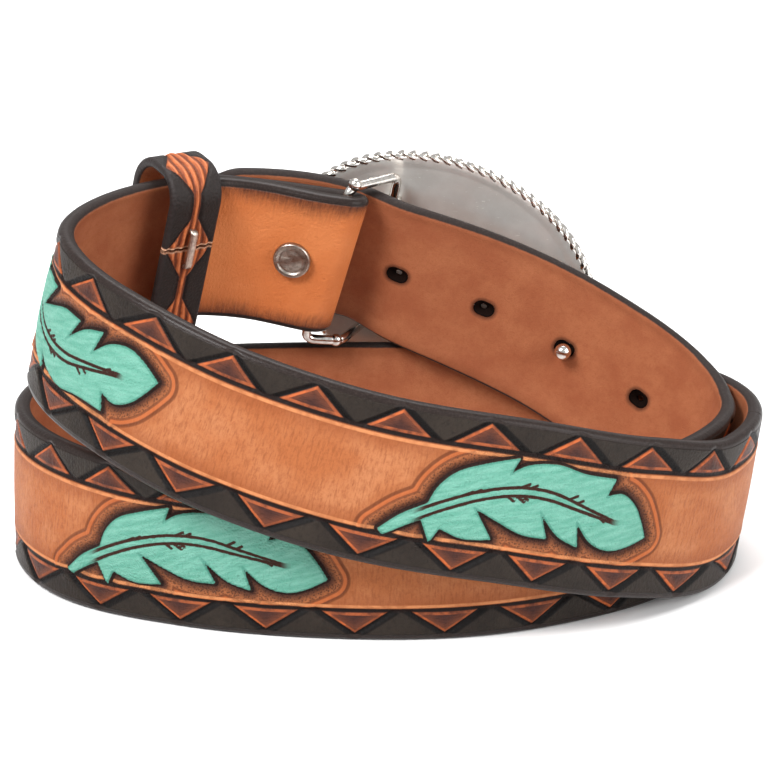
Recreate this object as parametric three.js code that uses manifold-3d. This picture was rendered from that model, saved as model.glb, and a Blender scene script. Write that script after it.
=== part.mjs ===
// Western tooled belt: one strap coiled twice round, fastened by an oval buckle worn at the back
// of the coil. Millimetres, +Z up, the lower turn resting on the floor.
import * as THREE from 'three';
import Module from 'manifold-3d';

const wasm = await Module();
wasm.setup();

// Strap
const strapWidth = 38;
const strapThick = 4;
const edgeRound = 1.6;
const tipLength = 14;
const returnLength = 40;
const returnRise = 1.8;
const layerGap = 0.4;
const clearance = 0.35;
const foldSlant = 0.13;
const foldBlend = 24;

// Coil, measured on the middle line of the strap
const coilLong = 176;
const coilDeep = 105;
const ringStep = 6;

// Size holes, counted from the tip
const holeFromTip = 57;
const holePitch = 23;
const holeCount = 5;
const holeLong = 5.6;
const holeTall = 4;
const fastenedHole = 2;

// Keeper, a loose leather loop closed by a wire staple
const keeperWidth = 14;
const keeperThick = 2.4;
const keeperFromFold = 42;
const keeperCorner = 4.5;
const keeperSlack = 0.45;
const keeperSlant = 0.09;
const keeperArch = 3;
const keeperJoint = 0.6;
const stapleLong = 10.5;
const stapleWide = 2;
const stapleWire = 1.2;
const stapleLeg = 1.5;
const stapleAbove = 5;

// Snap through the folded end
const snapFromFold = 8.5;
const snapAbove = 0.8;
const snapRadius = 4.7;
const snapHeight = 1.7;
const snapShank = 2;

// Buckle
const wireRadius = 1.2;
const bailReach = 12;
const bailSlant = 2.5;
const bailOutLow = 10.25;
const bailOutTop = 7.9;
const bailToe = 6.5;
const bailCorner = 3;
const bailPlay = 1.1;
const knobRadius = 1.62;
const plateLong = 84;
const plateTall = 68;
const plateThick = 1.8;
const plateDome = 2;
const ropeRadius = 1.4;
const ropeStrand = 3;
const postRadius = 1.5;
const ballRadius = 2.1;
const lugLong = 5;
const lugWall = 0.7;
const lugDepth = 16;
const upperLug = 12;
const lowerLug = -6;

// Path of the strap's middle line, from the fold at the buckle round to the tip. Columns: along
// and deep are shares of half the coil's length and depth, rise is the height of the strap's
// lowest corner as a share of its width, lean is how far its top edge tips outwards in degrees.
const stations = [
  { place: 'fold at the buckle', along: -0.15, deep: 0.85, rise: 1.16, lean: -9 },
  { place: 'behind the snap', along: -0.37, deep: 0.835, rise: 1.24, lean: -11 },
  { place: 'under the keeper', along: -0.56, deep: 0.73, rise: 1.3, lean: -12 },
  { place: 'back left', along: -0.73, deep: 0.49, rise: 1.31, lean: -13 },
  { place: 'left end', along: -0.87, deep: -0.04, rise: 1.27, lean: -14 },
  { place: 'front left', along: -0.7, deep: -0.59, rise: 1.12, lean: -12 },
  { place: 'first front quarter', along: -0.38, deep: -0.91, rise: 0.87, lean: -9 },
  { place: 'front middle', along: -0.02, deep: -1, rise: 0.63, lean: -6 },
  { place: 'last front quarter', along: 0.34, deep: -0.91, rise: 0.43, lean: -4 },
  { place: 'front right', along: 0.66, deep: -0.67, rise: 0.19, lean: 0 },
  { place: 'right corner', along: 0.91, deep: -0.28, rise: 0.01, lean: 5 },
  { place: 'right end', along: 0.995, deep: 0.25, rise: 0, lean: 8 },
  { place: 'right back', along: 0.91, deep: 0.6, rise: 0, lean: 4 },
  { place: 'lower back, right', along: 0.69, deep: 0.82, rise: 0, lean: 0 },
  { place: 'lower back, under the post', along: 0.41, deep: 0.93, rise: 0, lean: 0 },
  { place: 'lower back, middle', along: 0.13, deep: 0.98, rise: 0, lean: 0 },
  { place: 'lower back, under the bail', along: -0.15, deep: 0.99, rise: 0, lean: 0 },
  { place: 'lower back, left', along: -0.49, deep: 0.95, rise: 0, lean: 0 },
  { place: 'lower left back', along: -0.84, deep: 0.74, rise: 0, lean: 0 },
  { place: 'lower left end', along: -0.985, deep: 0.19, rise: 0, lean: -2 },
  { place: 'lower left front', along: -0.84, deep: -0.35, rise: 0, lean: -6 },
  { place: 'lower front, left', along: -0.52, deep: -0.68, rise: 0, lean: 0 },
  { place: 'lower front, middle', along: -0.14, deep: -0.81, rise: 0, lean: 0 },
  { place: 'lower front, right', along: 0.25, deep: -0.79, rise: 0, lean: 0 },
  { place: 'lower right front', along: 0.58, deep: -0.58, rise: 0, lean: 0 },
  { place: 'inner corner', along: 0.835, deep: -0.22, rise: 0, lean: 4 },
  { place: 'inner right end', along: 0.9, deep: 0.28, rise: 0.04, lean: 14 },
  { place: 'climbing off the floor', along: 0.82, deep: 0.55, rise: 0.17, lean: 14 },
  { place: 'climbing, inside the lower turn', along: 0.65, deep: 0.73, rise: 0.41, lean: 7 },
  { place: 'at the post', along: 0.47, deep: 0.81, rise: 0.64, lean: 0 },
  { place: 'past the post', along: 0.2, deep: 0.83, rise: 0.93, lean: -6 },
  { place: 'over the lower turn', along: 0.05, deep: 0.865, rise: 1.06, lean: -8 },
  { place: 'through the bail', along: -0.08, deep: 0.945, rise: 1.17, lean: -11 },
  { place: 'outside the snap', along: -0.36, deep: 0.945, rise: 1.27, lean: -12 },
  { place: 'tip', along: -0.56, deep: 0.84, rise: 1.3, lean: -12 },
];

// Curves through the stations

function spanOf(knots, at) {
  let span = 0;
  while (span < knots.length - 2 && at > knots[span + 1]) span += 1;
  return span;
}

// Natural cubic through the values: even bends between the stations
function smoothCurve(knots, values) {
  const last = knots.length - 1;
  const diagonal = new Array(last + 1).fill(1);
  const right = new Array(last + 1).fill(0);
  const load = new Array(last + 1).fill(0);
  for (let i = 1; i < last; i += 1) {
    const before = knots[i] - knots[i - 1];
    const after = knots[i + 1] - knots[i];
    const rise = (values[i + 1] - values[i]) / after - (values[i] - values[i - 1]) / before;
    const factor = i === 1 ? 0 : before / diagonal[i - 1];
    diagonal[i] = 2 * (before + after) - factor * right[i - 1];
    right[i] = after;
    load[i] = 6 * rise - factor * load[i - 1];
  }
  const bend = new Array(last + 1).fill(0);
  for (let i = last - 1; i > 0; i -= 1) {
    bend[i] = (load[i] - right[i] * bend[i + 1]) / diagonal[i];
  }
  return (at) => {
    const i = spanOf(knots, at);
    const length = knots[i + 1] - knots[i];
    const from = at - knots[i];
    const to = length - from;
    const curved = (bend[i] * to ** 3 + bend[i + 1] * from ** 3) / (6 * length);
    const start = (values[i] / length - (bend[i] * length) / 6) * to;
    const end = (values[i + 1] / length - (bend[i + 1] * length) / 6) * from;
    return curved + start + end;
  };
}

// Cubic that never passes beyond the values it joins: the strap stays on the floor
function steadyCurve(knots, values) {
  const last = knots.length - 1;
  const gap = (i) => knots[i + 1] - knots[i];
  const slope = (i) => (values[i + 1] - values[i]) / gap(i);
  const tangent = values.map((value, i) => {
    if (i === 0) return slope(0);
    if (i === last) return slope(last - 1);
    const before = slope(i - 1);
    const after = slope(i);
    if (before * after <= 0) return 0;
    const heavy = 2 * gap(i) + gap(i - 1);
    const light = gap(i) + 2 * gap(i - 1);
    return (heavy + light) / (heavy / before + light / after);
  });
  return (at) => {
    const i = spanOf(knots, at);
    const share = (at - knots[i]) / gap(i);
    const ease = share * share * (3 - 2 * share);
    const leave = share * (1 - share) ** 2 * gap(i) * tangent[i];
    const arrive = share * share * (share - 1) * gap(i) * tangent[i + 1];
    return values[i] * (1 - ease) + values[i + 1] * ease + leave + arrive;
  };
}

function buildPath(rows) {
  const across = rows.map((row) => (row.along * coilLong) / 2);
  const depth = rows.map((row) => (row.deep * coilDeep) / 2);
  const rise = rows.map((row) => row.rise * strapWidth);
  const knots = [0];
  for (let i = 1; i < rows.length; i += 1) {
    const step = Math.hypot(across[i] - across[i - 1], depth[i] - depth[i - 1], rise[i] - rise[i - 1]);
    knots.push(knots[i - 1] + step);
  }
  const acrossAt = smoothCurve(knots, across);
  const depthAt = smoothCurve(knots, depth);
  const riseAt = steadyCurve(knots, rise);
  const leanAt = steadyCurve(knots, rows.map((row) => THREE.MathUtils.degToRad(row.lean)));
  const pointAt = (at) => {
    const lean = leanAt(at);
    const corner = (strapThick / 2 - edgeRound) * Math.abs(Math.sin(lean));
    const height = Math.max(riseAt(at), 0) + (strapWidth / 2) * Math.cos(lean) + corner;
    return new THREE.Vector3(acrossAt(at), depthAt(at), height);
  };
  const end = knots[knots.length - 1];
  const samples = 1500;
  const lengths = [0];
  let previous = pointAt(0);
  for (let i = 1; i <= samples; i += 1) {
    const point = pointAt((end * i) / samples);
    lengths.push(lengths[i - 1] + point.distanceTo(previous));
    previous = point;
  }
  const knotAt = (distance) => {
    let low = 0;
    let high = samples;
    while (high - low > 1) {
      const middle = (low + high) >> 1;
      if (lengths[middle] < distance) low = middle;
      else high = middle;
    }
    const share = (distance - lengths[low]) / (lengths[high] - lengths[low]);
    return (end * (low + share)) / samples;
  };
  // Along the strap, up its width and out through its tooled face
  const frameAt = (distance) => {
    const at = knotAt(distance);
    const tangent = pointAt(Math.min(at + 0.5, end)).sub(pointAt(Math.max(at - 0.5, 0))).normalize();
    const lean = leanAt(at);
    const level = new THREE.Vector3(tangent.y, -tangent.x, 0).normalize();
    const up = level.multiplyScalar(Math.sin(lean)).add(new THREE.Vector3(0, 0, Math.cos(lean)));
    up.addScaledVector(tangent, -up.dot(tangent)).normalize();
    const out = new THREE.Vector3().crossVectors(tangent, up).normalize();
    return { point: pointAt(at), tangent, up, out };
  };
  return { frameAt, total: lengths[samples] };
}

const path = buildPath(stations);

// Solids

function signedVolume(positions, faces) {
  const a = new THREE.Vector3();
  const b = new THREE.Vector3();
  const c = new THREE.Vector3();
  let volume = 0;
  for (let i = 0; i < faces.length; i += 3) {
    a.fromArray(positions, faces[i] * 3);
    b.fromArray(positions, faces[i + 1] * 3);
    c.fromArray(positions, faces[i + 2] * 3);
    volume += a.dot(b.cross(c)) / 6;
  }
  return volume;
}

function toSolid(positions, faces) {
  const turned = faces.slice();
  if (signedVolume(positions, faces) < 0) {
    for (let i = 0; i < turned.length; i += 3) {
      [turned[i + 1], turned[i + 2]] = [turned[i + 2], turned[i + 1]];
    }
  }
  return new wasm.Manifold(new wasm.Mesh({
    numProp: 3,
    vertProperties: new Float32Array(positions),
    triVerts: new Uint32Array(turned),
  }));
}

// A solid through equal rings of points, capped at both ends or joined into a hoop
function ringSolid(rings, hoop = false) {
  const sides = rings[0].length;
  const positions = rings.flat().flatMap((point) => point.toArray());
  const faces = [];
  const spans = hoop ? rings.length : rings.length - 1;
  for (let i = 0; i < spans; i += 1) {
    const here = i * sides;
    const next = ((i + 1) % rings.length) * sides;
    for (let j = 0; j < sides; j += 1) {
      const k = (j + 1) % sides;
      faces.push(here + j, next + j, next + k, here + j, next + k, here + k);
    }
  }
  if (!hoop) {
    const end = (rings.length - 1) * sides;
    for (let j = 1; j < sides - 1; j += 1) {
      faces.push(0, j, j + 1, end, end + j + 1, end + j);
    }
  }
  return toSolid(positions, faces);
}

// Flat strip with rounded edges, as [across its width, through its thickness]
function stripSection(halfWidth, halfThick, round) {
  const section = [];
  for (let corner = 0; corner < 4; corner += 1) {
    const sideways = corner === 0 || corner === 3 ? 1 : -1;
    const through = corner < 2 ? 1 : -1;
    for (let step = 0; step < 3; step += 1) {
      const angle = ((corner * 2 + step) * Math.PI) / 4;
      section.push([
        sideways * (halfWidth - round) + round * Math.cos(angle),
        through * (halfThick - round) + round * Math.sin(angle),
      ]);
    }
  }
  return section;
}

function placeRing(section, point, up, out) {
  return section.map(([sideways, through]) => {
    return point.clone().addScaledVector(up, sideways).addScaledVector(out, through);
  });
}

function rod(from, to, radius, sides = 10) {
  const axis = to.clone().sub(from).normalize();
  const side = new THREE.Vector3(0, 0, 1).cross(axis);
  if (side.length() < 0.1) side.set(1, 0, 0).cross(axis);
  side.normalize();
  const other = new THREE.Vector3().crossVectors(axis, side);
  const circle = [];
  for (let j = 0; j < sides; j += 1) {
    const angle = (2 * Math.PI * j) / sides;
    circle.push([radius * Math.cos(angle), radius * Math.sin(angle)]);
  }
  return ringSolid([placeRing(circle, from, side, other), placeRing(circle, to, side, other)]);
}

function block(centre, axes, sizes) {
  const ring = (end) => [[-1, -1], [1, -1], [1, 1], [-1, 1]].map(([first, second]) => {
    return centre.clone()
      .addScaledVector(axes[0], (first * sizes[0]) / 2)
      .addScaledVector(axes[1], (second * sizes[1]) / 2)
      .addScaledVector(axes[2], (end * sizes[2]) / 2);
  });
  return ringSolid([ring(-1), ring(1)]);
}

function turned(profile, origin, axis, sides) {
  const geometry = new THREE.LatheGeometry(profile.map(([r, h]) => new THREE.Vector2(r, h)), sides);
  const turn = new THREE.Quaternion().setFromUnitVectors(new THREE.Vector3(0, 1, 0), axis);
  const last = profile.length - 1;
  const positions = [];
  const faces = [];
  const source = geometry.getAttribute('position');
  const place = (column, row) => {
    const point = new THREE.Vector3().fromBufferAttribute(source, column * profile.length + row);
    return point.applyQuaternion(turn).add(origin);
  };
  positions.push(...place(0, 0).toArray(), ...place(0, last).toArray());
  for (let column = 0; column < sides; column += 1) {
    for (let row = 1; row < last; row += 1) positions.push(...place(column, row).toArray());
  }
  const index = (column, row) => {
    if (row === 0) return 0;
    if (row === last) return 1;
    return 2 + (column % sides) * (last - 1) + row - 1;
  };
  for (let column = 0; column < sides; column += 1) {
    for (let row = 0; row < last; row += 1) {
      const [near, far] = [index(column, row), index(column + 1, row)];
      const [nearNext, farNext] = [index(column, row + 1), index(column + 1, row + 1)];
      if (row > 0) faces.push(near, far, farNext);
      if (row < last - 1) faces.push(near, farNext, nearNext);
    }
  }
  return toSolid(positions, faces);
}

// Folded end: a half turn round the bail wire, then back along the inside of the strap

const foldRadius = wireRadius + clearance + strapThick / 2;
const foldFrame = path.frameAt(0);

// From 0 at the fold to 1 where the two layers lie flat on each other
function foldEase(distance) {
  const share = Math.min(distance / foldBlend, 1);
  return share * share * (3 - 2 * share);
}

function returnPoint(distance) {
  const frame = path.frameAt(distance);
  const ease = foldEase(distance);
  const offset = 2 * foldRadius + (strapThick + layerGap - 2 * foldRadius) * ease;
  return frame.point.clone()
    .addScaledVector(frame.out, -offset)
    .addScaledVector(frame.up, returnRise);
}

function returnFrame(distance) {
  const base = path.frameAt(distance);
  const step = 0.5;
  const tangent = returnPoint(distance + step).sub(returnPoint(Math.max(distance - step, 0))).normalize();
  const up = base.up.clone().addScaledVector(tangent, -base.up.dot(tangent)).normalize();
  const out = new THREE.Vector3().crossVectors(tangent, up).normalize();
  return { point: returnPoint(distance), tangent, up, out };
}

const foldCentre = foldFrame.point.clone().addScaledVector(foldFrame.out, -foldRadius);

// The fold lies aslant: its upper edge reaches further past the buckle than its lower edge
function slantRing(ring, section, tangent, distance, rise) {
  const slant = foldSlant * (1 - foldEase(distance));
  return ring.map((point, i) => point.addScaledVector(tangent, -slant * (section[i][0] + rise)));
}

function strapRings() {
  const rings = [];
  const plain = stripSection(strapWidth / 2, strapThick / 2, edgeRound);
  const returnSteps = Math.round(returnLength / ringStep);
  for (let i = returnSteps; i > 0; i -= 1) {
    const distance = (returnLength * i) / returnSteps;
    const frame = returnFrame(distance);
    const ring = placeRing(plain, frame.point, frame.up, frame.out.clone().negate());
    rings.push(slantRing(ring, plain, frame.tangent, distance, returnRise));
  }
  const arcSteps = 8;
  for (let i = 0; i <= arcSteps; i += 1) {
    const angle = Math.PI * (1 - i / arcSteps);
    const radial = foldFrame.out.clone().multiplyScalar(Math.cos(angle));
    radial.addScaledVector(foldFrame.tangent, -Math.sin(angle));
    const rise = (returnRise * (1 - Math.cos(angle))) / 2;
    const point = foldCentre.clone()
      .addScaledVector(radial, foldRadius)
      .addScaledVector(foldFrame.up, rise);
    const ring = placeRing(plain, point, foldFrame.up, radial);
    rings.push(slantRing(ring, plain, foldFrame.tangent, 0, rise));
  }
  const mainSteps = Math.round((path.total - tipLength) / ringStep);
  for (let i = 1; i <= mainSteps; i += 1) {
    const distance = ((path.total - tipLength) * i) / mainSteps;
    const frame = path.frameAt(distance);
    const ring = placeRing(plain, frame.point, frame.up, frame.out);
    rings.push(slantRing(ring, plain, frame.tangent, distance, 0));
  }
  const tipSteps = 5;
  for (let i = 1; i <= tipSteps; i += 1) {
    const share = i / tipSteps;
    const frame = path.frameAt(path.total - tipLength * (1 - share));
    const half = (strapWidth / 2) * Math.sqrt(1 - (share * 0.93) ** 2);
    rings.push(placeRing(stripSection(half, strapThick / 2, edgeRound), frame.point, frame.up, frame.out));
  }
  return rings;
}

// Distance of a size hole from the fold
function holeDistance(number) {
  return path.total - holeFromTip - holePitch * number;
}

function holeCutter(number) {
  const frame = path.frameAt(holeDistance(number));
  const radius = holeTall / 2;
  const outline = [];
  for (let side = 0; side < 2; side += 1) {
    for (let step = 0; step <= 4; step += 1) {
      const angle = -Math.PI / 2 + side * Math.PI + (step * Math.PI) / 4;
      const shift = (side === 0 ? 1 : -1) * (holeLong / 2 - radius);
      outline.push([shift + radius * Math.cos(angle), radius * Math.sin(angle)]);
    }
  }
  const depth = strapThick / 2 + 0.3;
  const rings = [-depth, depth].map((through) => {
    const centre = frame.point.clone().addScaledVector(frame.out, through);
    return placeRing(outline, centre, frame.tangent, frame.up);
  });
  return ringSolid(rings);
}

// Snap: a domed cap with a rolled rim on the folded end, its shank through both layers

const snapSeat = returnFrame(snapFromFold);
const snapAxis = snapSeat.out.clone().negate();
const snapSink = 0.1;
const snapBase = snapSeat.point.clone()
  .addScaledVector(snapSeat.up, snapAbove)
  .addScaledVector(snapAxis, strapThick / 2 + clearance + snapSink);
const shankDepth = 2 * strapThick - layerGap;

function snapSolid() {
  const profile = [
    [0, -shankDepth],
    [snapShank, -shankDepth],
    [snapShank, 0],
    [snapRadius * 0.9, 0],
    [snapRadius, snapHeight * 0.3],
    [snapRadius * 0.97, snapHeight * 0.75],
    [snapRadius * 0.86, snapHeight * 0.9],
    [snapRadius * 0.74, snapHeight * 0.65],
    [snapRadius * 0.62, snapHeight * 0.6],
    [snapRadius * 0.42, snapHeight * 0.9],
    [0, snapHeight],
  ];
  return turned(profile, snapBase, snapAxis, 24);
}

function snapCutter() {
  const from = snapBase.clone().addScaledVector(snapAxis, 1);
  const to = snapBase.clone().addScaledVector(snapAxis, -shankDepth - clearance);
  return rod(from, to, snapShank + clearance, 24);
}

// Keeper round the strap, its folded end and its tip

const keeperFrame = path.frameAt(keeperFromFold);

// How far the layers inside the keeper reach from its middle: inwards, outwards, down and up
function keeperReach() {
  const reach = { inside: 0, outside: 0, below: 0, above: 0 };
  const keeperHalf = keeperWidth / 2 + (keeperSlant * strapWidth) / 2 + keeperSlack;
  const note = (frame) => {
    const offset = frame.point.clone().sub(keeperFrame.point);
    if (Math.abs(offset.dot(keeperFrame.tangent)) > keeperHalf) return;
    for (const side of [-1, 1]) {
      for (const face of [-1, 1]) {
        const corner = offset.clone()
          .addScaledVector(frame.up, side * (strapWidth / 2 - edgeRound))
          .addScaledVector(frame.out, (face * strapThick) / 2);
        const out = corner.dot(keeperFrame.out);
        const up = corner.dot(keeperFrame.up) + side * edgeRound;
        reach.inside = Math.max(reach.inside, -out);
        reach.outside = Math.max(reach.outside, out);
        reach.below = Math.max(reach.below, -up);
        reach.above = Math.max(reach.above, up);
      }
    }
  };
  const span = 2 * keeperFromFold;
  for (let distance = 0; distance < span; distance += 1) {
    note(path.frameAt(distance));
    note(path.frameAt(path.total - distance));
    if (distance < returnLength) note(returnFrame(distance));
  }
  return reach;
}

const reach = keeperReach();
const keeperInside = reach.inside + keeperSlack;
const keeperOutside = reach.outside + keeperSlack;
const keeperBelow = reach.below + clearance;
const keeperAbove = reach.above + keeperArch;

function keeperOutline() {
  const half = keeperThick / 2;
  const top = keeperAbove + half;
  const bottom = -keeperBelow - half;
  const outer = keeperOutside + half;
  const inner = -keeperInside - half;
  // Down the inside, across below, up and over: each corner with the angle its bend starts at
  const corners = [
    { up: bottom, out: inner, start: -Math.PI / 2 },
    { up: bottom, out: outer, start: Math.PI },
    { up: top, out: outer, start: Math.PI / 2 },
    { up: top, out: inner, start: 0 },
  ];
  const outline = [[stapleAbove - keeperJoint / 2, inner]];
  for (const { up, out, start } of corners) {
    const middleUp = up - Math.sign(up) * keeperCorner;
    const middleOut = out - Math.sign(out) * keeperCorner;
    for (let step = 0; step <= 4; step += 1) {
      const angle = start - (step * Math.PI) / 8;
      outline.push([middleUp + keeperCorner * Math.cos(angle), middleOut + keeperCorner * Math.sin(angle)]);
    }
  }
  outline.push([stapleAbove + keeperJoint / 2, inner]);
  return outline;
}

function keeperPoint(up, out) {
  return keeperFrame.point.clone()
    .addScaledVector(keeperFrame.up, up)
    .addScaledVector(keeperFrame.out, out)
    .addScaledVector(keeperFrame.tangent, -keeperSlant * up);
}

function keeperSolid() {
  const outline = keeperOutline();
  const section = stripSection(keeperWidth / 2, keeperThick / 2, keeperThick * 0.3);
  const rings = outline.map(([up, out], i) => {
    const before = outline[Math.max(i - 1, 0)];
    const after = outline[Math.min(i + 1, outline.length - 1)];
    const run = keeperPoint(after[0], after[1]).sub(keeperPoint(before[0], before[1])).normalize();
    const through = new THREE.Vector3().crossVectors(run, keeperFrame.tangent).normalize();
    return placeRing(section, keeperPoint(up, out), keeperFrame.tangent, through);
  });
  return ringSolid(rings);
}

const stapleUp = keeperFrame.up.clone().addScaledVector(keeperFrame.tangent, -keeperSlant).normalize();
const stapleSide = new THREE.Vector3().crossVectors(stapleUp, keeperFrame.out).normalize();
const stapleAxes = [stapleSide, stapleUp, keeperFrame.out];
const stapleOut = -keeperInside - keeperThick - clearance - stapleWire / 2;

function stapleSolid(grow) {
  const bar = block(keeperPoint(stapleAbove, stapleOut), stapleAxes, [
    stapleWide + 2 * grow, stapleLong + 2 * grow, stapleWire,
  ]);
  const reach = stapleLeg + clearance + stapleWire / 2 + grow;
  const legs = [-1, 1].map((end) => {
    const up = stapleAbove + (end * (stapleLong - stapleWire)) / 2;
    return block(keeperPoint(up, stapleOut + reach / 2), stapleAxes, [
      stapleWide + 2 * grow, stapleWire + 2 * grow, reach,
    ]);
  });
  return legs.reduce((solid, leg) => solid.add(leg), bar);
}

// Bail: a closed wire loop, one bar inside the fold and one behind the strap. Columns: ahead of
// the fold, out through the tooled face and up the strap's width.
const bailTop = strapWidth / 2 + clearance + wireRadius + bailPlay;
const bailBottom = -bailTop;
const bailStations = [
  { ahead: foldSlant * bailTop, out: -foldRadius, up: bailTop },
  { ahead: foldSlant * bailBottom, out: -foldRadius, up: bailBottom },
  { ahead: bailToe, out: -foldRadius / 2, up: bailBottom },
  { ahead: bailReach, out: bailOutLow, up: bailBottom },
  { ahead: bailReach + bailSlant, out: bailOutTop, up: bailTop },
];

function bailPoint({ ahead, out, up }) {
  return foldFrame.point.clone()
    .addScaledVector(foldFrame.tangent, -ahead)
    .addScaledVector(foldFrame.out, out)
    .addScaledVector(foldFrame.up, up);
}

function roundedLoop(corners, radius, steps) {
  const points = [];
  corners.forEach((corner, i) => {
    const before = corners[(i + corners.length - 1) % corners.length];
    const after = corners[(i + 1) % corners.length];
    const start = corner.clone().addScaledVector(before.clone().sub(corner).normalize(), radius);
    const end = corner.clone().addScaledVector(after.clone().sub(corner).normalize(), radius);
    const bend = new THREE.QuadraticBezierCurve3(start, corner, end);
    for (let step = 0; step <= steps; step += 1) points.push(bend.getPoint(step / steps));
  });
  return points;
}

// Round wire through a closed run of points, its circle carried from point to point
function wireHoop(points, radius, sides) {
  const rings = [];
  let side = null;
  points.forEach((point, i) => {
    const before = points[(i + points.length - 1) % points.length];
    const after = points[(i + 1) % points.length];
    const run = after.clone().sub(before).normalize();
    if (!side) side = new THREE.Vector3(0, 0, 1).cross(run).normalize();
    side = side.clone().addScaledVector(run, -side.dot(run)).normalize();
    const other = new THREE.Vector3().crossVectors(run, side);
    const circle = [];
    for (let j = 0; j < sides; j += 1) {
      const angle = (2 * Math.PI * j) / sides;
      circle.push([radius * Math.cos(angle), radius * Math.sin(angle)]);
    }
    rings.push(placeRing(circle, point, side, other));
  });
  return closeHoop(rings);
}

// Joins the last ring to whichever turn of the first lies nearest, so the wire isn't twisted
function closeHoop(rings) {
  const first = rings[0];
  const last = rings[rings.length - 1];
  let shift = 0;
  let nearest = Infinity;
  for (let j = 0; j < first.length; j += 1) {
    const apart = first[j].distanceTo(last[0]);
    if (apart < nearest) {
      nearest = apart;
      shift = j;
    }
  }
  const count = rings.length;
  const sides = first.length;
  const positions = rings.flat().flatMap((point) => point.toArray());
  const faces = [];
  for (let i = 0; i < count; i += 1) {
    const here = i * sides;
    const next = ((i + 1) % count) * sides;
    const offset = i === count - 1 ? shift : 0;
    for (let j = 0; j < sides; j += 1) {
      const k = (j + 1) % sides;
      const a = next + ((j + offset) % sides);
      const b = next + ((k + offset) % sides);
      faces.push(here + j, a, b, here + j, b, here + k);
    }
  }
  return toSolid(positions, faces);
}

function bailSolid() {
  const loop = roundedLoop(bailStations.map(bailPoint), bailCorner, 4);
  const wire = wireHoop(loop, wireRadius, 10);
  const knobs = [
    { ahead: foldSlant * bailTop + wireRadius, out: -foldRadius, up: bailTop + bailPlay },
    { ahead: bailToe - wireRadius, out: -foldRadius / 2, up: bailBottom },
  ].map((place) => ball(bailPoint(place), foldFrame.up, knobRadius));
  return knobs.reduce((solid, knob) => solid.add(knob), wire);
}

function ball(centre, axis, radius) {
  const profile = [];
  const steps = 8;
  for (let i = 0; i <= steps; i += 1) {
    const angle = -Math.PI / 2 + (Math.PI * i) / steps;
    profile.push([i === 0 || i === steps ? 0 : radius * Math.cos(angle), radius * Math.sin(angle)]);
  }
  return turned(profile, centre, axis, 12);
}

// Oval plate: placed as shares of the coil and of the strap's width
const plateAlong = 0.174;
const plateOut = 1.105;
const plateHigh = 1.42;
const plateTurn = THREE.MathUtils.degToRad(-28);
const plateLean = THREE.MathUtils.degToRad(-11);
const plateYaw = THREE.MathUtils.degToRad(-8);
const plateCentre = new THREE.Vector3(
  (plateAlong * coilLong) / 2,
  (plateOut * coilDeep) / 2,
  plateHigh * strapWidth,
);
const plateFace = new THREE.Vector3(
  -Math.sin(plateYaw) * Math.cos(plateLean),
  Math.cos(plateYaw) * Math.cos(plateLean),
  -Math.sin(plateLean),
);
const plateLevel = new THREE.Vector3(Math.cos(plateYaw), Math.sin(plateYaw), 0);
const plateRise = new THREE.Vector3().crossVectors(plateLevel, plateFace);
const plateAxis = plateLevel.clone().multiplyScalar(Math.cos(plateTurn))
  .addScaledVector(plateRise, Math.sin(plateTurn));
const plateCross = plateRise.clone().multiplyScalar(Math.cos(plateTurn))
  .addScaledVector(plateLevel, -Math.sin(plateTurn));
const halfLong = plateLong / 2 - ropeRadius;
const halfTall = plateTall / 2 - ropeRadius;

// A point of the plate: share of the way from its centre to the rim, angle round it, and height
// above its middle surface. The plate domes outwards.
function platePoint(share, angle, lift) {
  const long = halfLong * share * Math.cos(angle);
  const tall = halfTall * share * Math.sin(angle);
  const dome = -plateDome * share ** 2 * (Math.cos(angle) ** 2 + 0.5 * Math.sin(angle) ** 2);
  return plateCentre.clone()
    .addScaledVector(plateAxis, long)
    .addScaledVector(plateCross, tall)
    .addScaledVector(plateFace, dome + lift);
}

function plateSlab(below, above) {
  const shares = [0.35, 0.7, 1];
  const sides = 48;
  const positions = [];
  const faces = [];
  const add = (point) => {
    positions.push(...point.toArray());
    return positions.length / 3 - 1;
  };
  const layers = [below, above].map((lift) => {
    const middle = add(platePoint(0, 0, lift));
    const rings = shares.map((share) => {
      const ring = [];
      for (let j = 0; j < sides; j += 1) ring.push(add(platePoint(share, (2 * Math.PI * j) / sides, lift)));
      return ring;
    });
    return { middle, rings };
  });
  layers.forEach(({ middle, rings }, layer) => {
    const push = (a, b, c) => (layer ? faces.push(a, b, c) : faces.push(a, c, b));
    for (let j = 0; j < sides; j += 1) {
      const k = (j + 1) % sides;
      push(middle, rings[0][j], rings[0][k]);
      for (let i = 0; i < rings.length - 1; i += 1) {
        push(rings[i][j], rings[i + 1][j], rings[i + 1][k]);
        push(rings[i][j], rings[i + 1][k], rings[i][k]);
      }
    }
  });
  const low = layers[0].rings[shares.length - 1];
  const high = layers[1].rings[shares.length - 1];
  for (let j = 0; j < sides; j += 1) {
    const k = (j + 1) % sides;
    faces.push(low[j], low[k], high[k], low[j], high[k], high[j]);
  }
  return toSolid(positions, faces);
}

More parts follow.
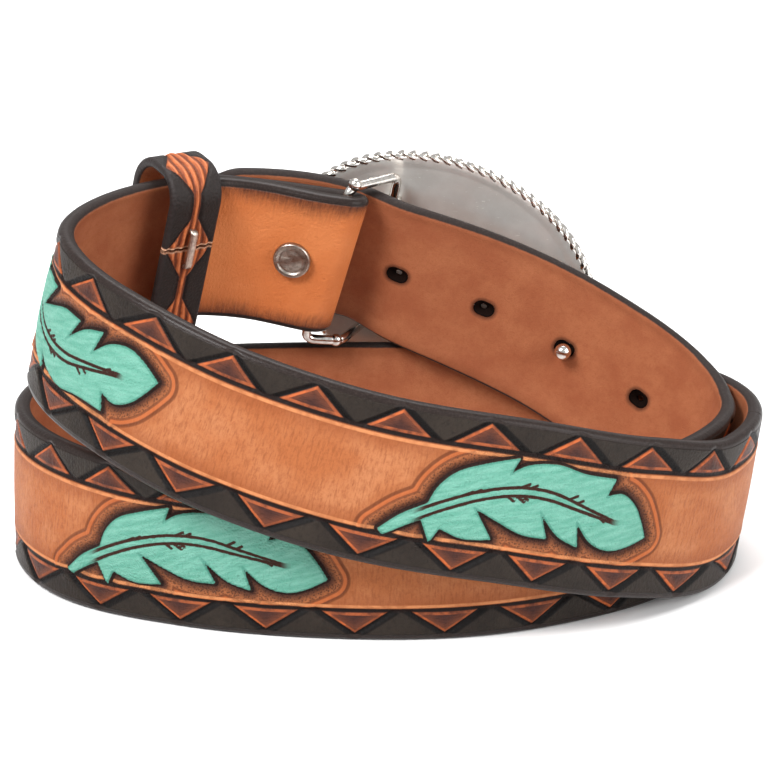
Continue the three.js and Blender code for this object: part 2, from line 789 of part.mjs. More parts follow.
// Rope edge: slanting strands, one full and one narrow ring to each
function ropeSolid() {
  const around = Math.PI * (halfLong + halfTall);
  const strands = Math.round(around / ropeStrand);
  const count = strands * 2;
  const sides = 7;
  const rings = [];
  for (let i = 0; i < count; i += 1) {
    const ring = [];
    for (let j = 0; j < sides; j += 1) {
      const turn = (2 * Math.PI * j) / sides;
      const slant = (0.35 * ropeStrand * Math.sin(turn)) / halfLong;
      const angle = (2 * Math.PI * i) / count + slant;
      const rim = platePoint(1, angle, 0);
      const outward = rim.clone().sub(platePoint(0.99, angle, 0)).normalize();
      const radius = i % 2 === 0 ? ropeRadius : ropeRadius * 0.8;
      rim.addScaledVector(outward, radius * Math.cos(turn));
      ring.push(rim.addScaledVector(plateFace, radius * Math.sin(turn)));
    }
    rings.push(ring);
  }
  return ringSolid(rings, true);
}

// Post: straight through the fastened hole, then bent up to the plate over the lower turn
function postSolid() {
  const frame = path.frameAt(holeDistance(fastenedHole));
  const outFrom = (depth) => frame.point.clone().addScaledVector(frame.out, depth);
  const head = outFrom(-strapThick / 2 - ballRadius - clearance);
  const bend = outFrom(strapThick / 2 + postRadius);
  const foot = platePoint(0.78, 0.2, 0);
  const stem = rod(head, bend, postRadius, 12).add(rod(bend, foot, postRadius, 12));
  return stem.add(ball(bend, frame.out, postRadius * 1.02)).add(ball(head, frame.out, ballRadius));
}

// Lug: holds the bail's outer bar against the back of the plate
function lugSolid(up) {
  const barPoint = (height) => {
    const share = (height - bailStations[3].up) / (bailStations[4].up - bailStations[3].up);
    const out = bailOutLow + (bailOutTop - bailOutLow) * share;
    return { ahead: bailReach + bailSlant * share, out, up: height };
  };
  const { ahead, out } = barPoint(up);
  const inside = wireRadius + clearance + lugWall;
  const middle = bailPoint({ ahead, out: out - inside + lugDepth / 2, up });
  const body = block(middle, [foldFrame.tangent, foldFrame.out, foldFrame.up], [
    2 * inside, lugDepth, lugLong,
  ]);
  const from = bailPoint(barPoint(up - lugLong));
  const to = bailPoint(barPoint(up + lugLong));
  return body.subtract(rod(from, to, wireRadius + clearance, 16));
}

function buckleSolid() {
  const outside = plateSlab(plateThick * 0.2, plateLong);
  const plate = plateSlab(-plateThick / 2, plateThick / 2);
  const fittings = lugSolid(upperLug).add(lugSolid(lowerLug)).add(postSolid()).subtract(outside);
  return plate.add(ropeSolid()).add(fittings);
}

// Assembly

function cutStrap() {
  let strap = ringSolid(strapRings());
  for (let number = 0; number < holeCount; number += 1) strap = strap.subtract(holeCutter(number));
  return strap.subtract(snapCutter());
}

const leatherTan = { color: 0xc67f50, roughness: 0.62, metalness: 0 };
const leatherDark = { color: 0x6a4234, roughness: 0.6, metalness: 0 };
const silverPlate = { color: 0xd8d6d2, roughness: 0.22, metalness: 1 };
const agedNickel = { color: 0x8b7f74, roughness: 0.42, metalness: 1 };
const stapleSteel = { color: 0xa79a8e, roughness: 0.4, metalness: 1 };

const parts = [
  { name: 'belt_strap', solid: cutStrap(), look: leatherTan },
  { name: 'strap_keeper', solid: keeperSolid().subtract(stapleSolid(clearance)), look: leatherDark },
  { name: 'keeper_staple', solid: stapleSolid(0), look: stapleSteel },
  { name: 'fold_snap', solid: snapSolid(), look: agedNickel },
  { name: 'buckle_plate', solid: buckleSolid(), look: silverPlate },
  { name: 'buckle_bail', solid: bailSolid(), look: silverPlate },
];

function toMesh({ name, solid, look }) {
  const data = solid.getMesh();
  const geometry = new THREE.BufferGeometry();
  const positions = new Float32Array(data.numVert * 3);
  for (let i = 0; i < data.numVert; i += 1) {
    for (let k = 0; k < 3; k += 1) positions[3 * i + k] = data.vertProperties[i * data.numProp + k];
  }
  geometry.setAttribute('position', new THREE.BufferAttribute(positions, 3));
  geometry.setIndex(new THREE.BufferAttribute(new Uint32Array(data.triVerts), 1));
  const mesh = new THREE.Mesh(geometry, new THREE.MeshStandardMaterial(look));
  mesh.name = name;
  return mesh;
}

const belt = new THREE.Group();
belt.name = 'western_tooled_belt';
parts.forEach((part) => belt.add(toMesh(part)));

// Centred on the floor
const box = new THREE.Box3().setFromObject(belt);
const middle = box.getCenter(new THREE.Vector3());
belt.children.forEach((mesh) => {
  mesh.geometry.translate(-middle.x, -middle.y, -box.min.z);
  mesh.geometry.computeVertexNormals();
});

export default belt;
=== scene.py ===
"""Looks of the western tooled belt: carved and painted strap, keeper, snap and silver buckle.

Lengths are millimetres until a mesh is made, then metres in the model's frame.
"""

import math

import bpy
import numpy as np
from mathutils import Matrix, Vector


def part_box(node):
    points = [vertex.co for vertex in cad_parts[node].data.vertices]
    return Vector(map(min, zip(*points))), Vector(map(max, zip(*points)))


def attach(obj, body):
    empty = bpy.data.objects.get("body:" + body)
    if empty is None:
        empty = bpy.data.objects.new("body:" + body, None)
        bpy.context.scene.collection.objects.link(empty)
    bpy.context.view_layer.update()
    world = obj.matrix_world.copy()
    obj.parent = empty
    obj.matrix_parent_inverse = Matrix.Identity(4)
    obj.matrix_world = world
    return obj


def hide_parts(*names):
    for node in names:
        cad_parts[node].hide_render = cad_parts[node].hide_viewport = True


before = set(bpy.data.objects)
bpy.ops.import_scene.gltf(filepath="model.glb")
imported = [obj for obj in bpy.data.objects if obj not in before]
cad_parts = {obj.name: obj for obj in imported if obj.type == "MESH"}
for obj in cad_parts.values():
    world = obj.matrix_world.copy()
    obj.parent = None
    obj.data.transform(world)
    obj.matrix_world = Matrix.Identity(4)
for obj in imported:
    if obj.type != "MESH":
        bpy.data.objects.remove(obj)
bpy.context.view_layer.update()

# Sizes shared with the model

STRAP_WIDTH = 38.0
STRAP_THICK = 4.0
EDGE_ROUND = 1.6
TIP_LENGTH = 14.0
RETURN_LENGTH = 40.0
RETURN_RISE = 1.8
LAYER_GAP = 0.4
CLEARANCE = 0.35
FOLD_SLANT = 0.13
FOLD_BLEND = 24.0
COIL_LONG = 176.0
COIL_DEEP = 105.0

HOLE_FROM_TIP = 57.0
HOLE_PITCH = 23.0
HOLE_COUNT = 5
HOLE_LONG = 5.6
HOLE_TALL = 4.0
FASTENED_HOLE = 2

KEEPER_WIDTH = 14.0
KEEPER_THICK = 2.4
KEEPER_FROM_FOLD = 42.0
KEEPER_SLACK = 0.45
KEEPER_SLANT = 0.09
KEEPER_JOINT = 0.6
# The dressed loop lies closer over the strap's upper edges than the model's does
KEEPER_ARCH = 0.8
STAPLE_LONG = 10.5
STAPLE_WIDE = 2.0
STAPLE_WIRE = 1.2
STAPLE_ABOVE = 5.0

SNAP_FROM_FOLD = 8.5
SNAP_ABOVE = 0.8
SNAP_RADIUS = 4.7

WIRE_RADIUS = 1.2
PLATE_LONG = 84.0
PLATE_TALL = 68.0
PLATE_THICK = 1.8
PLATE_DOME = 2.0
ROPE_RADIUS = 1.4
POST_RADIUS = 1.5
BALL_RADIUS = 2.1
LUG_LONG = 5.0
LUG_WALL = 0.7
UPPER_LUG = 12.0
LOWER_LUG = -6.0

# Path of the strap's middle line, fold to tip. Columns: share of half the coil's length, share of
# half its depth, height of the lowest corner as a share of the width, lean in degrees.
STATIONS = [
    ("fold at the buckle", -0.15, 0.85, 1.16, -9),
    ("behind the snap", -0.37, 0.835, 1.24, -11),
    ("under the keeper", -0.56, 0.73, 1.3, -12),
    ("back left", -0.73, 0.49, 1.31, -13),
    ("left end", -0.87, -0.04, 1.27, -14),
    ("front left", -0.7, -0.59, 1.12, -12),
    ("first front quarter", -0.38, -0.91, 0.87, -9),
    ("front middle", -0.02, -1, 0.63, -6),
    ("last front quarter", 0.34, -0.91, 0.43, -4),
    ("front right", 0.66, -0.67, 0.19, 0),
    ("right corner", 0.91, -0.28, 0.01, 5),
    ("right end", 0.995, 0.25, 0, 8),
    ("right back", 0.91, 0.6, 0, 4),
    ("lower back, right", 0.69, 0.82, 0, 0),
    ("lower back, under the post", 0.41, 0.93, 0, 0),
    ("lower back, middle", 0.13, 0.98, 0, 0),
    ("lower back, under the bail", -0.15, 0.99, 0, 0),
    ("lower back, left", -0.49, 0.95, 0, 0),
    ("lower left back", -0.84, 0.74, 0, 0),
    ("lower left end", -0.985, 0.19, 0, -2),
    ("lower left front", -0.84, -0.35, 0, -6),
    ("lower front, left", -0.52, -0.68, 0, 0),
    ("lower front, middle", -0.14, -0.81, 0, 0),
    ("lower front, right", 0.25, -0.79, 0, 0),
    ("lower right front", 0.58, -0.58, 0, 0),
    ("inner corner", 0.835, -0.22, 0, 4),
    ("inner right end", 0.9, 0.28, 0.04, 14),
    ("climbing off the floor", 0.82, 0.55, 0.17, 14),
    ("climbing, inside the lower turn", 0.65, 0.73, 0.41, 7),
    ("at the post", 0.47, 0.81, 0.64, 0),
    ("past the post", 0.2, 0.83, 0.93, -6),
    ("over the lower turn", 0.05, 0.865, 1.06, -8),
    ("through the bail", -0.08, 0.945, 1.17, -11),
    ("outside the snap", -0.36, 0.945, 1.27, -12),
    ("tip", -0.56, 0.84, 1.3, -12),
]


def unit(vectors):
    return vectors / np.linalg.norm(vectors, axis=-1, keepdims=True)


def dot(a, b):
    return np.sum(a * b, axis=-1)


def ease(x, low, high):
    share = np.clip((x - low) / (high - low), 0, 1)
    return share * share * (3 - 2 * share)


def bell(x, middle, half):
    return np.exp(-(((x - middle) / half) ** 2))


# Curves through the stations


def smooth_curve(knots, values):
    """Natural cubic through the values."""
    count = len(knots)
    step = np.diff(knots)
    matrix = np.eye(count)
    load = np.zeros(count)
    for i in range(1, count - 1):
        matrix[i, i - 1 : i + 2] = step[i - 1], 2 * (step[i - 1] + step[i]), step[i]
        rise = (values[i + 1] - values[i]) / step[i] - (values[i] - values[i - 1]) / step[i - 1]
        load[i] = 6 * rise
    bend = np.linalg.solve(matrix, load)

    def at(x):
        i = np.clip(np.searchsorted(knots, x) - 1, 0, count - 2)
        near, far = x - knots[i], knots[i + 1] - x
        curved = (bend[i] * far**3 + bend[i + 1] * near**3) / (6 * step[i])
        start = (values[i] / step[i] - bend[i] * step[i] / 6) * far
        end = (values[i + 1] / step[i] - bend[i + 1] * step[i] / 6) * near
        return curved + start + end

    return at


def steady_curve(knots, values):
    """Cubic that never passes beyond the values it joins."""
    step = np.diff(knots)
    slope = np.diff(values) / step
    tangent = np.concatenate([slope[:1], np.zeros(len(values) - 2), slope[-1:]])
    for i in range(1, len(values) - 1):
        if slope[i - 1] * slope[i] > 0:
            heavy = 2 * step[i] + step[i - 1]
            light = step[i] + 2 * step[i - 1]
            tangent[i] = (heavy + light) / (heavy / slope[i - 1] + light / slope[i])

    def at(x):
        i = np.clip(np.searchsorted(knots, x) - 1, 0, len(step) - 1)
        share = (x - knots[i]) / step[i]
        blend = share * share * (3 - 2 * share)
        leave = share * (1 - share) ** 2 * step[i] * tangent[i]
        arrive = share * share * (share - 1) * step[i] * tangent[i + 1]
        return values[i] * (1 - blend) + values[i + 1] * blend + leave + arrive

    return at


class Path:
    """Middle line of the strap, by distance from the fold."""

    def __init__(self, rows):
        across = np.array([row[1] for row in rows]) * COIL_LONG / 2
        depth = np.array([row[2] for row in rows]) * COIL_DEEP / 2
        rise = np.array([row[3] for row in rows]) * STRAP_WIDTH
        lean = np.radians([row[4] for row in rows])
        steps = np.sqrt(np.diff(across) ** 2 + np.diff(depth) ** 2 + np.diff(rise) ** 2)
        knots = np.concatenate([[0], np.cumsum(steps)])
        self.across = smooth_curve(knots, across)
        self.depth = smooth_curve(knots, depth)
        self.rise = steady_curve(knots, rise)
        self.lean = steady_curve(knots, lean)
        self.end = knots[-1]
        self.samples = np.linspace(0, self.end, 6001)
        points = self.point(self.samples)
        lengths = np.linalg.norm(np.diff(points, axis=0), axis=1)
        self.lengths = np.concatenate([[0], np.cumsum(lengths)])
        self.total = self.lengths[-1]

    def point(self, knot):
        lean = self.lean(knot)
        corner = (STRAP_THICK / 2 - EDGE_ROUND) * np.abs(np.sin(lean))
        height = np.maximum(self.rise(knot), 0) + STRAP_WIDTH / 2 * np.cos(lean) + corner
        return np.stack([self.across(knot), self.depth(knot), height], axis=-1)

    def frame(self, distance):
        """Point, direction along, direction up the width and direction out of the grain side."""
        knot = np.interp(distance, self.lengths, self.samples)
        ahead = self.point(np.minimum(knot + 0.5, self.end))
        behind = self.point(np.maximum(knot - 0.5, 0))
        along = unit(ahead - behind)
        lean = self.lean(knot)
        level = unit(np.stack([along[..., 1], -along[..., 0], 0 * knot], axis=-1))
        up = level * np.sin(lean)[..., None]
        up[..., 2] += np.cos(lean)
        up = unit(up - along * dot(up, along)[..., None])
        return self.point(knot), along, up, np.cross(along, up)


path = Path(STATIONS)
FOLD_RADIUS = WIRE_RADIUS + CLEARANCE + STRAP_THICK / 2
FOLD_ARC = math.pi * FOLD_RADIUS
START = -(FOLD_ARC + RETURN_LENGTH)
fold_point, fold_along, fold_up, fold_out = [v[0] for v in path.frame(np.array([0.0]))]


def return_point(distance):
    point, _, up, out = path.frame(distance)
    blend = ease(distance, 0, FOLD_BLEND)
    offset = 2 * FOLD_RADIUS + (STRAP_THICK + LAYER_GAP - 2 * FOLD_RADIUS) * blend
    return point - out * offset[..., None] + up * RETURN_RISE


def return_frame(distance):
    distance = np.asarray(distance, float)
    base_up = path.frame(distance)[2]
    ahead = return_point(distance + 0.5)
    behind = return_point(np.maximum(distance - 0.5, 0))
    along = unit(ahead - behind)
    up = unit(base_up - along * dot(base_up, along)[..., None])
    return return_point(distance), along, up, np.cross(along, up)


def fold_rise(distance):
    """How far the fold has lifted the strap towards its return."""
    turn = np.clip(-distance / FOLD_RADIUS, 0, math.pi)
    return RETURN_RISE * (1 - np.cos(turn)) / 2


def strap_frame(distance):
    """The path from the end of the return, round the fold and on to the tip."""
    distance = np.asarray(distance, float)
    point, along, up, out = path.frame(np.maximum(distance, 0))
    turn = np.clip(-distance / FOLD_RADIUS, 0, math.pi)[:, None]
    bent = (distance < 0)[:, None]
    radial = fold_out * np.cos(turn) - fold_along * np.sin(turn)
    centre = fold_point - fold_out * FOLD_RADIUS + fold_up * fold_rise(distance)[:, None]
    point = np.where(bent, centre + radial * FOLD_RADIUS, point)
    along = np.where(bent, fold_out * np.sin(turn) + fold_along * np.cos(turn), along)
    up = np.where(bent, fold_up, up)
    out = np.where(bent, radial, out)
    back = distance < -FOLD_ARC
    if back.any():
        p, a, u, o = return_frame(-distance[back] - FOLD_ARC)
        point[back], along[back], up[back], out[back] = p, -a, u, -o
    return point, along, up, out


def fold_slant(distance):
    """Shift of the leather for each millimetre up its width: the fold lies aslant."""
    along = strap_frame(distance)[1]
    bent = (distance < 0)[:, None]
    back = (distance < -FOLD_ARC)[:, None]
    way = np.where(back, -along, np.where(bent, fold_along, along))
    away = np.maximum(distance, -distance - FOLD_ARC)
    return -way * (FOLD_SLANT * (1 - ease(away, 0, FOLD_BLEND)))[:, None]


# Own millimetre frame to the model's frame: both straps have the same box
probe = np.linspace(START, path.total, 3000)
probe_point, _, probe_up, probe_out = strap_frame(probe)
corners = [
    probe_point
    + probe_up * side * (STRAP_WIDTH / 2 - EDGE_ROUND * (1 - math.cos(angle)))
    + probe_out * face * (STRAP_THICK / 2 - EDGE_ROUND * (1 - math.sin(angle)))
    for side in (-1, 1)
    for face in (-1, 1)
    for angle in np.radians([0, 45, 90])
]
corners = np.concatenate(corners)
strap_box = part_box("belt_strap")
SHIFT = 500 * (np.array(strap_box[0]) + np.array(strap_box[1])) - (corners.min(0) + corners.max(0)) / 2

# Meshes


def grid_faces(rows, columns, hoop_rows, hoop_columns):
    row_count = rows if hoop_rows else rows - 1
    column_count = columns if hoop_columns else columns - 1
    r, c = np.meshgrid(np.arange(row_count), np.arange(column_count), indexing="ij")
    r2, c2 = (r + 1) % rows, (c + 1) % columns
    faces = np.stack([r * columns + c, r2 * columns + c, r2 * columns + c2, r * columns + c2], -1)
    spots = np.stack([[r, c], [r + 1, c], [r + 1, c + 1], [r, c + 1]], 0).transpose(2, 3, 0, 1)
    share = spots / np.array([row_count, column_count])
    return faces.reshape(-1, 4), share.reshape(-1, 4, 2)


def make_mesh(name, points, faces, uv, material, slot, node, values=None, caps=()):
    """Mesh object from points in millimetres; uv is one pair for each corner of each face."""
    mesh = bpy.data.meshes.new(name)
    loops = [np.asarray(faces).ravel()]
    starts = list(np.arange(len(faces)) * 4)
    at = len(faces) * 4
    uvs = [np.asarray(uv).reshape(-1, 2)]
    for cap in caps:
        starts.append(at)
        loops.append(np.asarray(cap))
        angle = np.linspace(0, 2 * math.pi, len(cap), endpoint=False)
        uvs.append(np.stack([0.004 + 0.003 * np.cos(angle), 0.004 + 0.003 * np.sin(angle)], -1))
        at += len(cap)
    loops = np.concatenate(loops)
    mesh.vertices.add(len(points))
    mesh.loops.add(len(loops))
    mesh.polygons.add(len(starts))
    metres = (np.asarray(points) + SHIFT) / 1000
    mesh.vertices.foreach_set("co", metres.astype(np.float32).ravel())
    mesh.loops.foreach_set("vertex_index", loops.astype(np.int32))
    mesh.polygons.foreach_set("loop_start", np.array(starts, np.int32))
    mesh.polygons.foreach_set("use_smooth", np.ones(len(starts), bool))
    layer = mesh.uv_layers.new(name="OFBake")
    layer.data.foreach_set("uv", np.concatenate(uvs).astype(np.float32).ravel())
    for key, value in (values or {}).items():
        attribute = mesh.attributes.new(key, "FLOAT", "POINT")
        attribute.data.foreach_set("value", np.asarray(value, np.float32).ravel())
    mesh.update()
    mesh.validate()
    piece = bpy.data.objects.new(name, mesh)
    bpy.context.scene.collection.objects.link(piece)
    mesh.materials.append(material)
    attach(piece, "root")
    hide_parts(node)
    return piece


def surface(name, points, material, slot, node, core, hoop_rows=False, hoop_columns=True, **more):
    """Grid surface whose faces turn away from core, its middle line."""
    rows, columns = points.shape[:2]
    faces, uv = grid_faces(rows, columns, hoop_rows, hoop_columns)
    flat = points.reshape(-1, 3)
    keep = more.pop("keep", None)
    ends = more.pop("ends", False)
    cross = np.cross(flat[faces[:, 2]] - flat[faces[:, 0]], flat[faces[:, 3]] - flat[faces[:, 1]])
    away = (points - core).reshape(-1, 3)
    inward = np.sum(dot(cross, away[faces[:, 0]])) < 0
    if keep is not None:
        faces, uv = faces[keep], uv[keep]
    caps = []
    if ends:
        caps = [np.arange(columns)[::-1], (rows - 1) * columns + np.arange(columns)]
    if inward:
        faces, uv = faces[:, ::-1], uv[:, ::-1]
        caps = [cap[::-1] for cap in caps]
    return make_mesh(name, flat, faces, uv, material, slot, node, caps=caps, **more)


def tube(name, line, radius, material, slot, node, sides=16, hoop=False, start=None, wide=1.0):
    """Bar along a line of points, round or wider one way; radius may change along it."""
    line = np.asarray(line, float)
    if hoop:
        run = unit(np.roll(line, -1, 0) - np.roll(line, 1, 0))
    else:
        run = unit(np.gradient(line, axis=0))
    side = np.array([0.0, 0, 1]) if start is None else np.asarray(start, float)
    sides_at = []
    for direction in run:
        side = unit(side - direction * dot(side, direction))
        sides_at.append(side)
    sides_at = np.array(sides_at)
    other = np.cross(run, sides_at)
    if hoop:
        twist = math.atan2(dot(sides_at[0], np.cross(run[0], sides_at[-1])), dot(sides_at[0], sides_at[-1]))
        undo = np.linspace(0, twist, len(line), endpoint=False)[:, None]
        sides_at, other = (
            sides_at * np.cos(undo) + other * np.sin(undo),
            other * np.cos(undo) - sides_at * np.sin(undo),
        )
    angle = np.linspace(0, 2 * math.pi, sides, endpoint=False)
    size = np.broadcast_to(radius, len(line))[:, None, None]
    x, y = np.cos(angle), np.sin(angle)
    if wide > 1:
        x, y = np.sign(x) * np.abs(x) ** 0.55 * wide, np.sign(y) * np.abs(y) ** 0.7
    ring = x[None, :, None] * sides_at[:, None] + y[None, :, None] * other[:, None]
    points = line[:, None] + ring * size
    return surface(name, points, material, slot, node, line[:, None], hoop_rows=hoop, ends=not hoop)


def lathe(name, profile, origin, axis, material, slot, node, sides=64):
    """Turned shape; profile rows are radius and height along the axis."""
    axis = unit(np.asarray(axis, float))
    first = unit(np.cross(axis, [0.31, 0.2, 0.93]))
    second = np.cross(axis, first)
    profile = np.asarray(profile, float)
    angle = np.linspace(0, 2 * math.pi, sides, endpoint=False)
    ring = np.cos(angle)[:, None] * first + np.sin(angle)[:, None] * second
    radius = np.maximum(profile[:, 0], 1e-4)
    points = origin + radius[:, None, None] * ring[None] + profile[:, 1][:, None, None] * axis
    core = origin + axis * (profile[:, 1].mean())
    return surface(name, points, material, slot, node, core)


def ball_profile(radius, steps=24):
    angle = np.linspace(-math.pi / 2, math.pi / 2, steps + 1)
    return np.stack([radius * np.cos(angle), radius * np.sin(angle)], -1)


def spline(points, steps, hoop=False):
    """Catmull-Rom curve through the points."""
    points = np.asarray(points, float)
    if hoop:
        rows = [np.roll(points, 1 - k, 0) for k in range(4)]
    else:
        padded = np.concatenate([[2 * points[0] - points[1]], points, [2 * points[-1] - points[-2]]])
        rows = [padded[k : len(points) - 1 + k] for k in range(4)]
    t = np.linspace(0, 1, steps, endpoint=False)[None, :, None]
    a, b, c, d = [row[:, None] for row in rows]
    curve = 0.5 * (
        2 * b + (c - a) * t + (2 * a - 5 * b + 4 * c - d) * t**2 + (3 * b - a - 3 * c + d) * t**3
    )
    curve = curve.reshape(-1, points.shape[1])
    return curve if hoop else np.concatenate([curve, points[-1:]])


# Shading

DYE_LIGHT = 0.66


def paint(code, light=1.0):
    """Linear colour from a six-figure display colour, made darker by light."""
    parts = [int(code[k : k + 2], 16) / 255 for k in (0, 2, 4)]
    linear = [v / 12.92 if v <= 0.04045 else ((v + 0.055) / 1.055) ** 2.4 for v in parts]
    return (*[v * light for v in linear], 1.0)


def dye(code):
    """Colour of the outer side, as it looks in full light."""
    return paint(code, DYE_LIGHT)


class Shade:
    """A material and short ways to its nodes."""

    def __init__(self, name):
        self.material = bpy.data.materials.new(name)
        self.material.use_nodes = True
        self.tree = self.material.node_tree
        self.skin = self.tree.nodes["Principled BSDF"]

    def put(self, value, socket):
        if isinstance(value, bpy.types.NodeSocket):
            self.tree.links.new(value, socket)
        else:
            socket.default_value = value

    def node(self, kind, **settings):
        node = self.tree.nodes.new(kind)
        for key, value in settings.items():
            setattr(node, key, value)
        return node

    def value(self, name):
        return self.node("ShaderNodeAttribute", attribute_name=name).outputs["Fac"]

    def math(self, operation, *values):
        node = self.node("ShaderNodeMath", operation=operation)
        for value, socket in zip(values, node.inputs):
            self.put(value, socket)
        return node.outputs[0]

    def add(self, a, b):
        return self.math("ADD", a, b)

    def times(self, a, b):
        return self.math("MULTIPLY", a, b)

    def flip(self, a):
        return self.math("SUBTRACT", 1.0, a)

    def ease(self, value, low, high):
        node = self.node("ShaderNodeMapRange", interpolation_type="SMOOTHSTEP")
        self.put(value, node.inputs["Value"])
        node.inputs["From Min"].default_value = low
        node.inputs["From Max"].default_value = high
        return node.outputs["Result"]

    def band(self, value, middle, half):
        """1 at the middle, 0 beyond half on either side."""
        away = self.math("ABSOLUTE", self.math("SUBTRACT", value, middle))
        return self.flip(self.ease(away, half * 0.45, half))

    def blend(self, amount, a, b):
        node = self.node("ShaderNodeMix", data_type="RGBA")
        self.put(amount, node.inputs["Factor"])
        self.put(a, node.inputs["A"])
        self.put(b, node.inputs["B"])
        return node.outputs["Result"]

    def join(self, x, y, z=0.0):
        node = self.node("ShaderNodeCombineXYZ")
        for value, socket in zip((x, y, z), node.inputs):
            self.put(value, socket)
        return node.outputs[0]

    def place(self):
        """Position on the object in millimetres."""
        source = self.node("ShaderNodeTexCoord").outputs["Object"]
        node = self.node("ShaderNodeVectorMath", operation="SCALE")
        self.put(source, node.inputs[0])
        node.inputs["Scale"].default_value = 1000
        return node.outputs[0]

    def stretched(self, vector, x, y, z):
        node = self.node("ShaderNodeVectorMath", operation="MULTIPLY")
        self.put(vector, node.inputs[0])
        node.inputs[1].default_value = (x, y, z)
        return node.outputs[0]

    def noise(self, vector, scale, detail=3.0, rough=0.55):
        node = self.node("ShaderNodeTexNoise")
        self.put(vector, node.inputs["Vector"])
        node.inputs["Scale"].default_value = scale
        node.inputs["Detail"].default_value = detail
        node.inputs["Roughness"].default_value = rough
        return node.outputs["Fac"]

    def cells(self, vector, scale):
        node = self.node("ShaderNodeTexVoronoi")
        self.put(vector, node.inputs["Vector"])
        node.inputs["Scale"].default_value = scale
        return node.outputs["Distance"]

    def bump(self, height, depth):
        node = self.node("ShaderNodeBump")
        node.inputs["Strength"].default_value = 1.0
        node.inputs["Distance"].default_value = depth / 1000
        self.put(height, node.inputs["Height"])
        return node.outputs["Normal"]

    def finish(self, color, roughness, metallic=0.0, normal=None):
        self.put(color, self.skin.inputs["Base Color"])
        self.put(roughness, self.skin.inputs["Roughness"])
        self.put(metallic, self.skin.inputs["Metallic"])
        if normal is not None:
            self.put(normal, self.skin.inputs["Normal"])
        return self.material


# Tooling pattern on the grain side

BORDER = 11.35
TRIANGLE_PITCH = 20.2
TRIANGLE_START = 129.5
TRIANGLE_BASE = 16.8
TRIANGLE_TOP = 17.25
UPPER_SHIFT = 3.0
LOWER_SHIFT = 0.8
PATTERN_START = 46.0
HALO = 3.1
FEATHER_GROWN = 0.3

# Feathers along the strap: distance of the quill's end from the fold, and which way up
FEATHERS = [(74.7, -1), (193.6, 1), (317.0, -1), (441.0, -1), (565.6, 1), (689.0, -1)]

# Outline of one feather, quill first, over the top and back along the barbs. Columns: distance
# from the quill's end, distance from the strap's middle, and whether the outline turns sharply.
FEATHER_OUTLINE = [
    (0.0, -10.3, True),
    (4.2, -6.0, False),
    (9.3, -2.7, True),
    (10.9, 1.6, False),
    (14.4, 5.4, False),
    (20.0, 7.9, False),
    (27.4, 10.3, True),
    (26.0, 6.5, True),
    (30.0, 9.0, False),
    (36.5, 10.1, False),
    (43.5, 9.0, False),
    (51.7, 8.9, True),
    (50.3, 4.7, True),
    (54.6, 5.6, False),
    (58.6, 3.4, False),
    (61.4, -0.2, False),
    (63.6, -4.0, True),
    (58.6, -6.6, False),
    (54.0, -7.6, False),
    (49.0, -6.0, False),
    (44.4, -1.8, True),
    (46.2, -7.7, True),
    (40.4, -5.6, False),
    (34.8, -0.7, True),
    (38.0, -6.8, True),
    (31.6, -6.6, False),
    (25.4, -4.4, False),
    (19.4, -1.9, True),
    (24.8, -8.8, True),
    (18.4, -9.4, False),
    (12.8, -7.8, True),
    (11.2, -11.2, True),
    (9.8, -8.6, False),
    (8.6, -6.4, True),
    (11.6, -4.7, True),
    (5.8, -8.0, False),
    (1.1, -11.3, True),
]

# Middle of the quill and shaft: distance along and across
SHAFT = [(5.0, -7.1), (12.0, -2.9), (20.0, 0.7), (28.0, 2.8), (36.0, 3.0), (44.0, 1.4), (54.0, -0.9)]
SHAFT_HALF = 0.95
# Nicks that leave the shaft's lines: distance along, side, length
NICKS = [
    (16.5, 1, 2.4), (18.6, 1, 2.0), (29.0, 1, 2.2), (31.2, 1, 1.7), (41.0, 1, 2.2), (43.2, 1, 1.6),
    (26.4, -1, 1.9), (28.4, -1, 2.3), (30.0, -1, 1.4), (50.0, -1, 1.5),
]


def outline_points(rows):
    """Smooth between the sharp corners."""
    rows = rows + rows[:1]
    points, run = [], [rows[0][:2]]
    for along, across, sharp in rows[1:]:
        run.append((along, across))
        if sharp:
            points.extend(spline(run, 6)[:-1])
            run = [(along, across)]
    return np.array(points)


def segment_distance(x, y, starts, ends):
    nearest = np.full(x.shape, 1e9)
    for (ax, ay), (bx, by) in zip(starts, ends):
        dx, dy = bx - ax, by - ay
        share = np.clip(((x - ax) * dx + (y - ay) * dy) / (dx * dx + dy * dy + 1e-12), 0, 1)
        nearest = np.minimum(nearest, (x - ax - share * dx) ** 2 + (y - ay - share * dy) ** 2)
    return np.sqrt(nearest)


def outline_distance(x, y, outline):
    """Distance from the outline, negative inside it."""
    ends = np.roll(outline, -1, 0)
    inside = np.zeros(x.shape, bool)
    for (ax, ay), (bx, by) in zip(outline, ends):
        crosses = (ay > y) != (by > y)
        level = np.where(crosses, (bx - ax) * (y - ay) / (by - ay + 1e-12) + ax, 1e9)
        inside ^= crosses & (x < level)
    away = segment_distance(x, y, outline, ends)
    return np.where(inside, -away, away)


feather_outline = outline_points(FEATHER_OUTLINE)
shaft_line = spline(SHAFT, 6)
shaft_run = unit(np.gradient(shaft_line, axis=0))
shaft_side = np.stack([-shaft_run[:, 1], shaft_run[:, 0]], -1)
shaft_taper = 1 - 0.75 * ease(shaft_line[:, 0], 34, 56)
shaft_lines = [shaft_line + shaft_side * (side * SHAFT_HALF * shaft_taper)[:, None] for side in (-1, 1)]


def cut_segments():
    starts, ends = [], []
    for along, side, length in NICKS:
        line = shaft_lines[1 if side > 0 else 0]
        at = np.array([along, np.interp(along, line[:, 0], line[:, 1])])
        starts.append(at)
        ends.append(at + np.array([0.86, 0.5 * side]) * length)
    return starts, ends


cut_starts, cut_ends = cut_segments()


